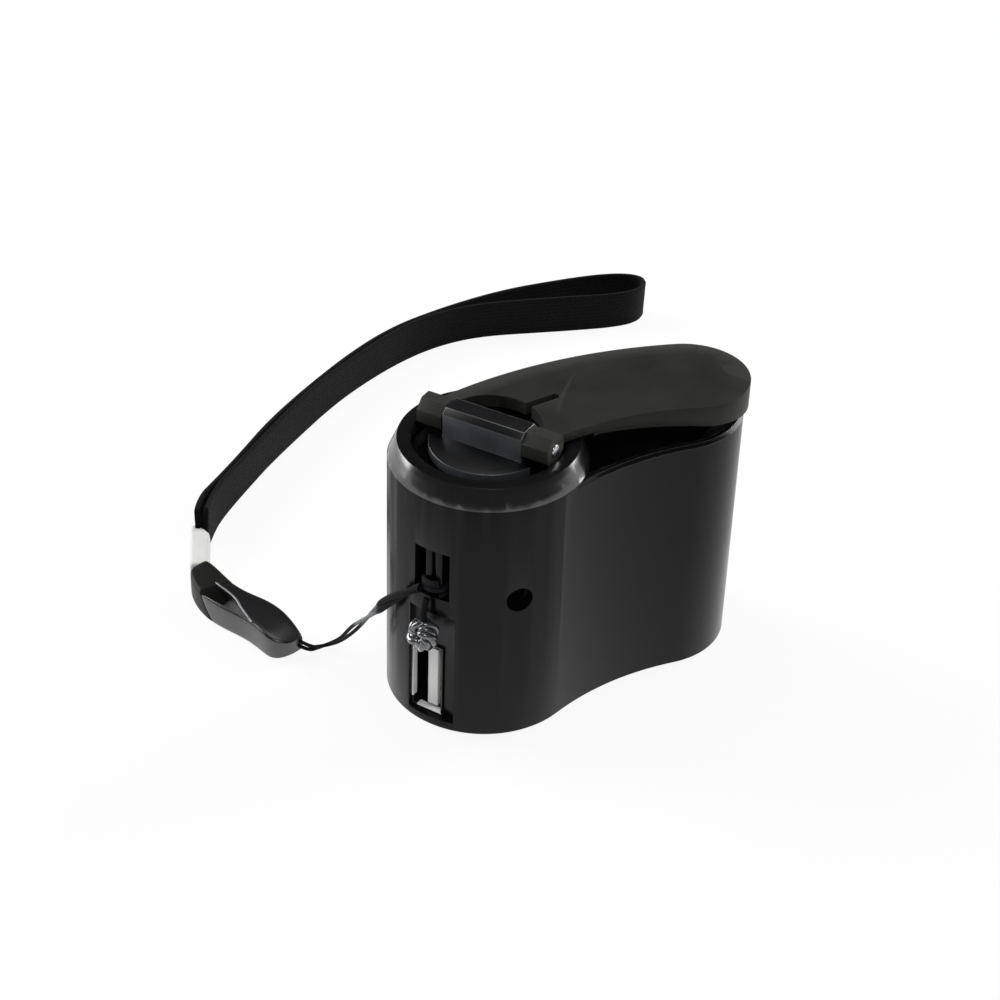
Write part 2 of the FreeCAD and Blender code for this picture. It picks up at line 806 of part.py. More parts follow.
def drive_gear():
    phase = heading(hub_centre, first_idler_place)
    solid = gear(drive_teeth, phase, top_layer, hub_centre)
    web = tube(pitch_radius(drive_teeth) - drive_rim_width, hub_shaft_radius + drive_boss_width,
               drive_gear_top - drive_web_depth, drive_gear_top)
    bore = rod(hub_shaft_radius + fit_gap, top_layer, drive_gear_top)
    flats = hub_shaft_flat + fit_gap
    bore = bore.common(block(-flats, flats, -hub_radius, hub_radius, top_layer, drive_gear_top))
    return solid.cut(web).cut(bore)


def idler(pinion_teeth, pinion_layer, pinion_phase, wheel_teeth, wheel_layer, wheel_phase, place):
    solid = gear(pinion_teeth, pinion_phase, pinion_layer, place)
    solid = solid.fuse(gear(wheel_teeth, wheel_phase, wheel_layer, place))
    solid = solid.fuse(rod(idler_hub_radius, wheel_layer, pinion_layer, place))
    return solid.cut(rod(idler_shaft_radius + running_gap, wheel_layer, pinion_layer + gear_width, place))


def first_idler_gear():
    return idler(
        first_pinion_teeth, top_layer, meshing_phase(first_pinion_teeth, first_idler_place, hub_centre),
        first_wheel_teeth, middle_layer, heading(first_idler_place, second_idler_place), first_idler_place)


def second_idler_gear():
    return idler(
        second_pinion_teeth, middle_layer,
        meshing_phase(second_pinion_teeth, second_idler_place, first_idler_place),
        second_wheel_teeth, low_layer, heading(second_idler_place, generator_place), second_idler_place)


def generator_pinion():
    phase = meshing_phase(generator_pinion_teeth, generator_place, second_idler_place)
    solid = gear(generator_pinion_teeth, phase, low_layer, generator_place)
    return solid.cut(rod(rotor_shaft_radius + fit_gap, low_layer, low_layer + gear_width, generator_place))


# ---- generator ----

def generator_can():
    can = rod(can_radius, can_bottom, plate_bottom, generator_place)
    can = can.cut(rod(can_inner_radius, can_bottom, plate_bottom - can_sheet, generator_place))
    return can.cut(rod(bush_radius + fit_gap, can_bottom, plate_bottom, generator_place))


def generator_end_cap():
    cap = rod(can_inner_radius - fit_gap, can_bottom, can_bottom + end_cap_thickness, generator_place)
    return cap.cut(rod(bush_radius + fit_gap, can_bottom, can_bottom + end_cap_thickness, generator_place))


def generator_bushes():
    bottom = tube(bush_radius, rotor_shaft_radius + running_gap, can_bottom, can_bottom + bush_length,
                  generator_place)
    top = tube(bush_radius, rotor_shaft_radius + running_gap, plate_bottom - bush_length,
               plate_bottom + plate_thickness / 2, generator_place)
    return [bottom, top]


def stator_core():
    top = stator_bottom + stator_height
    outer = can_inner_radius - fit_gap
    core = tube(outer, outer - stator_ring, stator_bottom, top)
    for index in range(stator_poles):
        pole = block(0, outer - stator_ring / 2, -pole_width / 2, pole_width / 2, stator_bottom, top)
        core = core.fuse(turned(pole, index * 360.0 / stator_poles))
    core = core.cut(rod(magnet_radius + air_gap, stator_bottom, top))
    return turned(core, 0, generator_place)


def stator_coils():
    outer = can_inner_radius - fit_gap - stator_ring - slip_gap
    inner = magnet_radius + air_gap + slip_gap
    half = pole_width / 2 + coil_wrap
    hole = pole_width / 2 + running_gap
    coils = []
    for index in range(stator_poles):
        coil = block(inner, outer - coil_back_gap, -half, half, stator_bottom - coil_wrap,
                     stator_bottom + stator_height + coil_wrap)
        coil = coil.cut(block(0, outer, -hole, hole, stator_bottom - running_gap,
                              stator_bottom + stator_height + running_gap))
        coils.append(turned(coil, index * 360.0 / stator_poles, generator_place))
    return coils


def rotor_magnet():
    return tube(magnet_radius, rotor_shaft_radius + fit_gap, stator_bottom, stator_bottom + stator_height,
                generator_place)


def rotor_shaft():
    return rod(rotor_shaft_radius, rotor_shaft_foot, low_layer + gear_width + gear_end_float, generator_place)


# ---- circuit board and USB socket, in the socket's frame ----

def circuit_board():
    board = block(board_inner_end, board_outer_end, board_back, board_face, board_bottom, board_top)
    liner_clear = slip_gap * 2
    corner = block(lanyard_pocket_floor - lanyard_liner - liner_clear, board_outer_end + 1, board_back,
                   board_face, lanyard_pocket_bottom - lanyard_liner - liner_clear, board_top)
    return turned(board.cut(corner), port_angle)


def usb_shell():
    back = shell_mouth - shell_length
    shell = block(back, shell_mouth, shell_left, shell_right, shell_bottom, shell_bottom + shell_height)
    shell = shell.cut(block(back, shell_mouth, shell_left + shell_sheet, shell_right - shell_sheet,
                            shell_bottom + shell_sheet, shell_bottom + shell_height - shell_sheet))
    return turned(shell, port_angle)


def usb_tongue():
    back = shell_mouth - shell_length
    inset = shell_sheet + running_gap
    root = block(back, back + tongue_block_length, shell_left + inset, shell_right - inset,
                 shell_bottom + inset, shell_bottom + shell_height - inset)
    low = shell_offset + tongue_offset - tongue_thickness / 2
    blade = block(back, shell_mouth - tongue_mouth_setback, low, low + tongue_thickness,
                  shell_middle_z - tongue_height / 2, shell_middle_z + tongue_height / 2)
    return turned(root.fuse(blade), port_angle)


def usb_contacts():
    face = shell_offset + tongue_offset - tongue_thickness / 2
    start = shell_mouth - shell_length + tongue_block_length
    end = shell_mouth - tongue_mouth_setback - contact_setback
    contacts = []
    for step in (-1.5, -0.5, 0.5, 1.5):
        middle = shell_middle_z + step * contact_pitch
        strip = block(start, end, face - contact_thickness, face,
                      middle - contact_width / 2, middle + contact_width / 2)
        contacts.append(turned(strip, port_angle))
    return contacts


def on_board(shape, along, height):
    # Stands a component that was made on Z=0 on the board's inner face.
    result = shape.copy()
    result.rotate(Vector(0, 0, 0), Vector(1, 0, 0), -90)
    result.translate(Vector(along, board_face, height))
    return turned(result, port_angle)


def capacitor():
    inside = capacitor_radius - capacitor_groove_depth
    groove = tube(capacitor_radius + 1, inside, capacitor_groove_bottom, capacitor_groove_top)
    can = rod(capacitor_radius, 0, capacitor_length).cut(groove)
    return on_board(can, component_place, capacitor_height)


def inductor():
    core = rod(inductor_core_radius, 0, inductor_length)
    core = core.fuse(rod(inductor_radius, 0, inductor_flange))
    core = core.fuse(rod(inductor_radius, inductor_length - inductor_flange, inductor_length))
    return on_board(core, component_place, inductor_height)


def boost_chip():
    body = block(-chip_length / 2, chip_length / 2, -chip_width / 2, chip_width / 2, chip_bottom, chip_top)
    reach = chip_length / 2 + chip_lead_reach
    half = chip_lead_width / 2
    for step in (-1.5, -0.5, 0.5, 1.5):
        middle = step * chip_lead_pitch
        body = body.fuse(block(-reach, reach, middle - half, middle + half, 0, 2 * chip_bottom))
    return on_board(body, chip_place, chip_height)


# ---- charge light ----

def charge_led():
    flange = led_rod(led_flange_radius, led_back, led_back + led_flange_thickness)
    straight_end = led_back + led_length - led_radius
    body = led_rod(led_radius, led_back, straight_end)
    dome = Part.makeSphere(led_radius, polar(straight_end, led_angle, led_height))
    return flange.fuse(body).fuse(dome)


def led_leads():
    # Two straight leads from the light's back to the face of the board.
    to_light = polar(1, led_angle)
    beside_port = polar(1, port_angle + 90)
    reach = led_back - board_face / (to_light.dot(beside_port))
    leads = []
    for side in (-0.5, 0.5):
        foot = polar(led_back, led_angle, led_height + side * led_lead_pitch)
        lead = Part.makeCylinder(led_lead_radius, reach + led_lead_radius * 2, foot, to_light * -1)
        keep = turned(block(-hub_radius, hub_radius, board_face, hub_radius, 0, ceiling_height), port_angle)
        leads.append(lead.common(keep))
    return leads


# ---- crank hub ----

def hinge_rod(radius, start, end):
    return Part.makeCylinder(radius, end - start, Vector(start, 0, hinge_height), Vector(1, 0, 0))


def hinge_barrel():
    # A square-shouldered block across the disc, its two upper edges chamfered.
    top = hinge_height + barrel_radius
    flat = barrel_radius - barrel_chamfer
    section = Part.makePolygon([
        Vector(-barrel_half, -barrel_radius, hub_disc_bottom),
        Vector(-barrel_half, -barrel_radius, top - barrel_chamfer),
        Vector(-barrel_half, -flat, top),
        Vector(-barrel_half, flat, top),
        Vector(-barrel_half, barrel_radius, top - barrel_chamfer),
        Vector(-barrel_half, barrel_radius, hub_disc_bottom),
        Vector(-barrel_half, -barrel_radius, hub_disc_bottom),
    ])
    return Part.Face(section).extrude(Vector(2 * barrel_half, 0, 0))


def crank_hub():
    disc = rod(hub_disc_radius, hub_disc_bottom, hub_disc_top)
    room_half = ear_radius + ear_clearance
    ear_room = block(-root_radius, root_radius, -room_half, room_half, hub_disc_bottom, hub_disc_top)
    ear_room = ear_room.cut(block(-barrel_half - barrel_gap, barrel_half + barrel_gap, -room_half, room_half,
                                  hub_disc_bottom, hub_disc_top))
    head = disc.cut(ear_room).fuse(hinge_barrel())
    head = head.cut(hinge_rod(pin_radius + running_gap, -barrel_half, barrel_half))
    shaft = rod(hub_shaft_radius, drive_gear_top, hub_disc_bottom)
    flat = block(-hub_shaft_flat, hub_shaft_flat, -hub_radius, hub_radius, top_layer, drive_gear_top)
    shaft = shaft.fuse(rod(hub_shaft_radius, top_layer, drive_gear_top).common(flat))
    screw_hole = rod(hub_screw_radius + fit_gap, top_layer, top_layer - washer_thickness + hub_screw_length)
    return turned(head, hinge_angle).fuse(shaft).cut(screw_hole)


def hub_washer():
    return tube(washer_radius, hub_screw_radius + running_gap, top_layer - washer_thickness, top_layer)


def hub_screw():
    seat = top_layer - washer_thickness
    head = rod(hub_screw_head_radius, seat - hub_screw_head_height, seat)
    slot = screw_slot(hub_screw_head_radius, seat - hub_screw_head_height, hub_screw_head_height)
    return head.cut(slot).fuse(rod(hub_screw_radius, seat, seat + hub_screw_length - hub_screw_end_gap))


# ---- crank arm ----

def arm_slot():
    half = arm_slot_width / 2
    low = arm_underside - 1
    high = arm_crown_height + 1
    cutter = block(0, arm_slot_length, -half, half, low, high)
    cutter = cutter.fuse(rod(half, low, high, Vector(arm_slot_length, 0, 0)))
    return turned(cutter, arm_slot_angle, arm_slot_start)


def ear(side):
    # One eight-sided ear, flat on top.
    corner = ear_radius / math.cos(math.pi / ear_sides)
    points = []
    for index in range(ear_sides + 1):
        angle = 2 * math.pi * (index + 0.5) / ear_sides
        rise = corner * math.sin(angle)
        points.append(Vector(side * ear_inner, corner * math.cos(angle), hinge_height + rise))
    return Part.Face(Part.makePolygon(points)).extrude(Vector(side * (ear_outer - ear_inner), 0, 0))


def crank_arm():
    lowest = arm_edge_height - skirt_end_drop
    arm = slab(arm_outline, 0, lowest, arm_edge_height)
    arm = arm.fuse(bevelled_slab(arm_outline, 0, arm_edge_height, crown_inset, arm_crown_height))
    hollow = slab(arm_outline, arm_wall, lowest - 1, arm_ceiling).cut(
        rod(root_radius + arm_wall, lowest - 1, arm_ceiling))
    arm = arm.cut(hollow)
    arm = arm.cut(rod(collar_clear_radius, lowest - 1, arm_underside))
    far_end = end_centre.x + end_radius
    slope = Part.makePolygon([
        Vector(0, -hub_to_tip, lowest - 1),
        Vector(far_end + 1, -hub_to_tip, lowest - 1),
        Vector(far_end + 1, -hub_to_tip, lowest),
        Vector(far_end, -hub_to_tip, lowest),
        Vector(collar_clear_radius, -hub_to_tip, arm_edge_height - skirt_root_drop),
        Vector(0, -hub_to_tip, arm_edge_height - skirt_root_drop),
        Vector(0, -hub_to_tip, lowest - 1),
    ])
    arm = arm.cut(Part.Face(slope).extrude(Vector(0, 2 * hub_to_tip, 0)))
    arm = arm.cut(rod(root_cutout_radius, lowest - 1, arm_crown_height + 1))
    arm = arm.cut(arm_slot())
    for side in (-1, 1):
        arm = arm.fuse(turned(ear(side), hinge_angle))
    arm = arm.cut(turned(hinge_rod(pin_radius + fit_gap, -ear_outer, ear_outer), hinge_angle))
    thread_top = arm_ceiling + knob_thread_length
    arm = arm.cut(rod(knob_thread_radius + fit_gap, arm_ceiling - 1, thread_top, end_centre))
    return arm


def hinge_pin():
    return turned(hinge_rod(pin_radius, -pin_half, pin_half), hinge_angle)


def knob_screw():
    head_bottom = knob_bottom + knob_head_setback
    head_top = head_bottom + knob_head_height
    screw = rod(knob_head_radius, head_bottom, head_top, end_centre)
    screw = screw.fuse(rod(knob_shoulder_radius, head_top, arm_ceiling, end_centre))
    thread_end = arm_ceiling + knob_thread_length - knob_thread_end_gap
    screw = screw.fuse(rod(knob_thread_radius, arm_ceiling, thread_end, end_centre))
    return screw.cut(turned(screw_slot(knob_head_radius, head_bottom, knob_head_height), 0, end_centre))


def finger_knob():
    body = Part.makeCone(knob_radius - knob_bevel, knob_radius, knob_bevel, Vector(0, 0, knob_bottom))
    body = body.fuse(rod(knob_radius, knob_bottom + knob_bevel, knob_top - knob_bevel))
    body = body.fuse(Part.makeCone(knob_radius, knob_radius - knob_bevel, knob_bevel,
                                   Vector(0, 0, knob_top - knob_bevel)))
    head_room = knob_head_setback + knob_head_height + running_gap
    body = body.cut(rod(knob_head_radius + slip_gap, knob_bottom, knob_bottom + head_room))
    body = body.cut(rod(knob_shoulder_radius + running_gap, knob_bottom, knob_top))
    dish = Part.makeCone(knob_radius - 2 * knob_bevel, knob_head_radius + slip_gap, knob_dish_depth,
                         Vector(0, 0, knob_bottom))
    body = body.cut(dish)
    for index in range(knob_grips):
        groove_place = polar(knob_radius + knob_grip_radius / 2, index * 360.0 / knob_grips)
        body = body.cut(rod(knob_grip_radius, knob_bottom, knob_top, groove_place))
    return turned(body, 0, end_centre)


# ---- lanyard ----

def lanyard_hitch():
    # The loop of cord round the bar.
    ring = Part.makeTorus(lanyard_bar_radius + cord_radius + running_gap, cord_radius)
    ring.rotate(Vector(0, 0, 0), Vector(0, 1, 0), 12)
    ring.translate(Vector(lanyard_bar_place, 0, cord_route[0].z))
    return turned(ring, port_angle)


def lanyard_knot():
    tail = cord_tube(knot_tail_route, cord_radius)
    lump = Part.makeSphere(1.0)
    stretch = FreeCAD.Matrix()
    stretch.scale(Vector(*knot_radii))
    lump = lump.transformGeometry(stretch)
    return tail.fuse(turned(lump, port_angle, knot_centre))


def buckle_outline():
    left = Part.BSplineCurve()
    left.interpolate([Vector(x, y, 0) for x, y in buckle_left_side])
    right = Part.BSplineCurve()
    right.interpolate([Vector(x, y, 0) for x, y in reversed(buckle_right_side)])
    return Part.Wire([
        left.toShape(),
        Part.LineSegment(left.EndPoint, right.StartPoint).toShape(),
        right.toShape(),
        Part.LineSegment(right.EndPoint, left.StartPoint).toShape(),
    ])


def buckle_blank():
    # The whole buckle's outer form: its outline from above cut by its outline from the side.
    plan = Part.Face(buckle_outline()).extrude(Vector(0, 0, buckle_height))
    side = [
        (plug_end, plug_foot_rise),
        (plug_end + plug_foot_length, 0),
        (nose_end - nose_foot_length, 0),
        (nose_end, nose_face_low),
        (nose_end, nose_face_high),
        (nose_end - nose_slope_length, buckle_height),
        (plug_end + plug_top_length, buckle_height),
        (plug_end, buckle_height - plug_top_drop),
        (plug_end, plug_foot_rise),
    ]
    face = Part.Face(Part.makePolygon([Vector(x, -buckle_height, z) for x, z in side]))
    return plan.common(face.extrude(Vector(0, 2 * buckle_height, 0)))


def buckle_socket():
    room_top = buckle_height - buckle_wall
    half = buckle_pocket_half
    solid = buckle_blank().common(block(buckle_parting + slip_gap, nose_end, -buckle_height, buckle_height,
                                        0, buckle_height))
    solid = solid.cut(block(buckle_parting, buckle_parting + buckle_pocket_length, -half, half,
                            buckle_wall, room_top))
    window = block(window_start, window_start + window_length, -buckle_height, buckle_height,
                   buckle_wall + window_lip, room_top - window_lip)
    solid = solid.cut(window)
    placed = turned(solid, buckle_angle, buckle_middle)
    hole_axis = cord_route[-1] - cord_route[-2]
    hole_axis.normalize()
    hole_start = cord_route[-1] - hole_axis * nose_foot_length
    hole = Part.makeCylinder(cord_radius + running_gap, nose_end / 2, hole_start, hole_axis)
    return placed.cut(hole)


def prong(side, low, high):
    # One flexing prong of the plug, with the barb that catches in the socket's window.
    outer = buckle_pocket_half - prong_gap
    barb_start = window_start + prong_gap
    stem = block(buckle_parting - prong_root, prong_length, outer - prong_width, outer, low, high)
    barb = Part.Face(Part.makePolygon([
        Vector(barb_start, outer - barb_end_height, low),
        Vector(barb_start, outer + barb_height, low),
        Vector(prong_length - barb_end_length, outer + barb_end_height, low),
        Vector(prong_length, outer - barb_end_height, low),
        Vector(barb_start, outer - barb_end_height, low),
    ])).extrude(Vector(0, 0, high - low))
    solid = stem.fuse(barb)
    if side < 0:
        solid = solid.mirror(Vector(0, 0, 0), Vector(0, 1, 0))
    return solid


def buckle_plug():
    plug_half = block(plug_end, buckle_parting, -buckle_height, buckle_height, 0, buckle_height)
    solid = buckle_blank().common(plug_half)
    slot_start = plug_end + plug_bar
    slot_low = plug_slot_side - plug_slot_half
    slot_high = plug_slot_side + plug_slot_half
    solid = solid.cut(block(slot_start, slot_start + plug_slot_length, slot_low, slot_high, 0, buckle_height))
    bar_low = eye_height - plug_bar_height / 2
    bar_high = eye_height + plug_bar_height / 2
    for low, high in ((0, bar_low), (bar_high, buckle_height)):
        solid = solid.cut(block(plug_end, slot_start, slot_low, slot_high, low, high))
    low = buckle_wall + prong_gap
    high = buckle_height - buckle_wall - prong_gap
    for side in (-1, 1):
        solid = solid.fuse(prong(side, low, high))
    guide = block(buckle_parting - prong_root, prong_length - barb_end_length,
                  -guide_width / 2, guide_width / 2, low, high)
    return turned(solid.fuse(guide), buckle_angle, buckle_middle)


def in_casing(point):
    # A point of the buckle's own frame, in the casing's.
    return turned(Part.Vertex(point), buckle_angle, buckle_middle).Point


ferrule_start = in_casing(Vector(plug_end - ferrule_gap, ferrule_side, 0))
ferrule_start.z = 0
ferrule_axis = polar(1, ferrule_angle)
ferrule_end = ferrule_start + ferrule_axis * ferrule_length


def mouth_side(start, end):
    # A slab square to the ferrule's slanting mouth, from start to end beyond it.
    slab_half = 2 * ferrule_width
    wedge = block(start, end, -slab_half, slab_half, -1, strap_width + 1)
    return turned(wedge, ferrule_angle - ferrule_mouth_slant, ferrule_end)


def strap_ferrule():
    low = eye_height - ferrule_height / 2
    sleeve = block(0, ferrule_length + ferrule_width, -ferrule_width / 2, ferrule_width / 2, low,
                   low + ferrule_height)
    sleeve = turned(sleeve, ferrule_angle, ferrule_start).cut(mouth_side(0, 2 * ferrule_length))
    eye_place = Vector(plug_end + plug_bar / 2, plug_slot_side, eye_height)
    eye = Part.makeTorus(eye_radius, eye_wire_radius, eye_place, Vector(0, 1, 0))
    eye = turned(eye, buckle_angle, buckle_middle)
    outer_point = in_casing(eye_place - Vector(eye_radius, 0, 0))
    target = ferrule_start + Vector(0, 0, eye_height) + ferrule_axis
    run = target - outer_point
    neck = Part.makeCylinder(eye_neck_radius, run.Length, outer_point, run)
    return sleeve.fuse(neck).fuse(eye)


def wrist_strap():
    # Both ends are cut along the ferrule's mouth and stand just clear of it, side by side.
    across = polar(strap_end_spread, ferrule_angle - 90)
    foot = ferrule_end - ferrule_axis * strap_foot_depth
    points = [foot + across] + strap_route_out + strap_route_back + [foot - across]
    path, radii = rounded_path(points)
    print("strap length", round(path.Length, 1), "radii", radii)
    side = polar(strap_thickness / 2, heading(points[0], points[1]) - 90)
    rise = Vector(0, 0, strap_width)
    start = points[0]
    left = start - side
    right = start + side
    section = Part.makePolygon([left, right, right + rise, left + rise, left])
    band = path.makePipeShell([section], True, False)
    return band.cut(mouth_side(-ferrule_length, strap_end_gap))


# ---- the assembly ----

save("main_housing", main_housing())
save("base_cover", base_cover())
save("base_screws", *base_screws())
save("hub_bush", hub_bush())
save("lanyard_bar", lanyard_bar())
save("gear_plate", gear_plate())
save("gear_plate_screws", *gear_plate_screws())
save("first_idler_shaft", idler_shaft(first_idler_place))
save("second_idler_shaft", idler_shaft(second_idler_place))
save("generator_can", generator_can())
save("generator_end_cap", generator_end_cap())
save("generator_bushes", *generator_bushes())
save("stator_core", stator_core())
save("stator_coils", *stator_coils())
save("circuit_board", circuit_board())
save("usb_shell", usb_shell())
save("usb_tongue", usb_tongue())
save("usb_contacts", *usb_contacts())
save("capacitor", capacitor())
save("inductor", inductor())
save("boost_chip", boost_chip())
save("charge_led", charge_led())
save("led_leads", *led_leads())
save("crank_hub", crank_hub())
save("drive_gear", drive_gear())
save("hub_washer", hub_washer())
save("hub_screw", hub_screw())
save("crank_arm", crank_arm())
save("hinge_pin", hinge_pin())
save("knob_screw", knob_screw())
save("finger_knob", finger_knob())
save("first_idler_gear", first_idler_gear())
save("second_idler_gear", second_idler_gear())
save("generator_pinion", generator_pinion())
save("rotor_magnet", rotor_magnet())
save("rotor_shaft", rotor_shaft())
save("lanyard_cord", cord_tube(cord_route, cord_radius))
save("lanyard_hitch", lanyard_hitch())
save("lanyard_knot", lanyard_knot())
save("buckle_socket", buckle_socket())
save("buckle_plug", buckle_plug())
save("strap_ferrule", strap_ferrule())
save("wrist_strap", wrist_strap())
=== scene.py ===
import json
import math

import bpy
from mathutils import Matrix, Vector


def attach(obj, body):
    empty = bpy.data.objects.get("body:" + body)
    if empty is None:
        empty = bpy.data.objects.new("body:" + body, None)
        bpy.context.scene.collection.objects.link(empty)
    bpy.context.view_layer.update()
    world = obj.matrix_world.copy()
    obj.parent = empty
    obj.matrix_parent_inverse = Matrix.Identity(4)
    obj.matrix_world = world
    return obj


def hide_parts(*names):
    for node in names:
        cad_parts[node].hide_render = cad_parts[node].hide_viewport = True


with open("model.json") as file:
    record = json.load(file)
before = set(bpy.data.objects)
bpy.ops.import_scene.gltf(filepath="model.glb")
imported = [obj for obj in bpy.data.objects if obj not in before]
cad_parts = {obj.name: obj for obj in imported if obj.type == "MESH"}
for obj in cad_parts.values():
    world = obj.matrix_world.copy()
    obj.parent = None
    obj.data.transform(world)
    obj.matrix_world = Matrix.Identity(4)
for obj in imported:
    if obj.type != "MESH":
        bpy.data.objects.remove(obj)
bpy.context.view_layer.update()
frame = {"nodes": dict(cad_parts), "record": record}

nodes = frame["nodes"]
mm = 0.001


def metres(points):
    return [Vector(point) * mm for point in points]


# Camera, at a height and side that show the crank, the socket and the strap together.
cameraValues = {
    "azimuth": -32.063,
    "elevation": 34.468,
    "roll": 1.958,
    "distance": 359.731,
    "aim": (10.0, 0.0, 22.0),
    "slideRight": -6.273,
    "slideUp": 7.392,
    "lens": 81.78,
    "sensorWidth": 36.0,
    "clipStart": 0.01,
}


def placeCamera(values):
    azimuth = math.radians(values["azimuth"])
    elevation = math.radians(values["elevation"])
    roll = math.radians(values["roll"])
    back = Vector((math.sin(azimuth) * math.cos(elevation), -math.cos(azimuth) * math.cos(elevation),
                   math.sin(elevation)))
    level = Vector((math.cos(azimuth), math.sin(azimuth), 0))
    upright = back.cross(level)
    right = level * math.cos(roll) + upright * math.sin(roll)
    up = upright * math.cos(roll) - level * math.sin(roll)
    place = (Vector(values["aim"]) + back * values["distance"] + right * values["slideRight"]
             + up * values["slideUp"])
    camera = bpy.data.objects.new("studioCamera", bpy.data.cameras.new("studioCamera"))
    camera.data.lens = values["lens"]
    camera.data.sensor_width = values["sensorWidth"]
    camera.data.clip_start = values["clipStart"]
    camera.matrix_world = Matrix.Translation(place * mm) @ Matrix((right, up, back)).transposed().to_4x4()
    bpy.context.scene.collection.objects.link(camera)
    bpy.context.scene.camera = camera


placeCamera(cameraValues)
print("camera placed")


# Finishes.
def newMaterial(name):
    material = bpy.data.materials.new(name)
    material.use_nodes = True
    tree = material.node_tree
    return material, tree, tree.nodes["Principled BSDF"]


def addNode(tree, kind, **settings):
    node = tree.nodes.new(kind)
    for key, value in settings.items():
        if key in node.inputs:
            node.inputs[key].default_value = value
        else:
            setattr(node, key, value)
    return node


def colourRamp(tree, stops):
    ramp = tree.nodes.new("ShaderNodeValToRGB")
    ramp.color_ramp.elements[0].position = stops[0][0]
    ramp.color_ramp.elements[0].color = (*stops[0][1], 1)
    ramp.color_ramp.elements[1].position = stops[-1][0]
    ramp.color_ramp.elements[1].color = (*stops[-1][1], 1)
    for position, colour in stops[1:-1]:
        ramp.color_ramp.elements.new(position).color = (*colour, 1)
    return ramp


def shade(colour, factor):
    return tuple(min(1.0, channel * factor) for channel in colour)


def mouldedFinish(name, colour, roughness, specular=0.3, grain=0.35, mottle=0.18, metallic=0.0, coat=0.0,
                  wornAndHighlit=1.6):
    # Moulded or drawn material: fine surface grain, slow colour drift, edges painted a little paler, as wear
    # and as a painted edge highlight.
    material, tree, surface = newMaterial(name)
    links = tree.links
    place = addNode(tree, "ShaderNodeTexCoord")
    fine = addNode(tree, "ShaderNodeTexNoise", Scale=4000.0, Detail=3.0, Roughness=0.6)
    broad = addNode(tree, "ShaderNodeTexNoise", Scale=140.0, Detail=4.0, Roughness=0.55)
    links.new(place.outputs["Object"], fine.inputs["Vector"])
    links.new(place.outputs["Object"], broad.inputs["Vector"])
    drift = colourRamp(tree, [(0.3, shade(colour, 1 - mottle)), (0.7, shade(colour, 1 + mottle))])
    links.new(broad.outputs["Fac"], drift.inputs["Fac"])
    edges = addNode(tree, "ShaderNodeNewGeometry")
    rubbedAndHighlitEdges = colourRamp(tree, [(0.52, (0, 0, 0)), (0.6, (1, 1, 1))])
    links.new(edges.outputs["Pointiness"], rubbedAndHighlitEdges.inputs["Fac"])
    blend = addNode(tree, "ShaderNodeMix", data_type="RGBA")
    links.new(rubbedAndHighlitEdges.outputs["Color"], blend.inputs["Factor"])
    links.new(drift.outputs["Color"], blend.inputs["A"])
    blend.inputs["B"].default_value = (*shade(colour, wornAndHighlit), 1)
    links.new(blend.outputs["Result"], surface.inputs["Base Color"])
    gloss = addNode(tree, "ShaderNodeMapRange")
    gloss.inputs["From Min"].default_value = 0.3
    gloss.inputs["From Max"].default_value = 0.7
    gloss.inputs["To Min"].default_value = roughness * 0.88
    gloss.inputs["To Max"].default_value = min(1.0, roughness * 1.12)
    links.new(broad.outputs["Fac"], gloss.inputs["Value"])
    links.new(gloss.outputs["Result"], surface.inputs["Roughness"])
    bump = addNode(tree, "ShaderNodeBump", Strength=grain, Distance=0.02 * mm)
    links.new(fine.outputs["Fac"], bump.inputs["Height"])
    links.new(bump.outputs["Normal"], surface.inputs["Normal"])
    surface.inputs["Metallic"].default_value = metallic
    surface.inputs["Specular IOR Level"].default_value = specular
    surface.inputs["Coat Weight"].default_value = coat
    surface.inputs["Coat Roughness"].default_value = 0.15
    return material


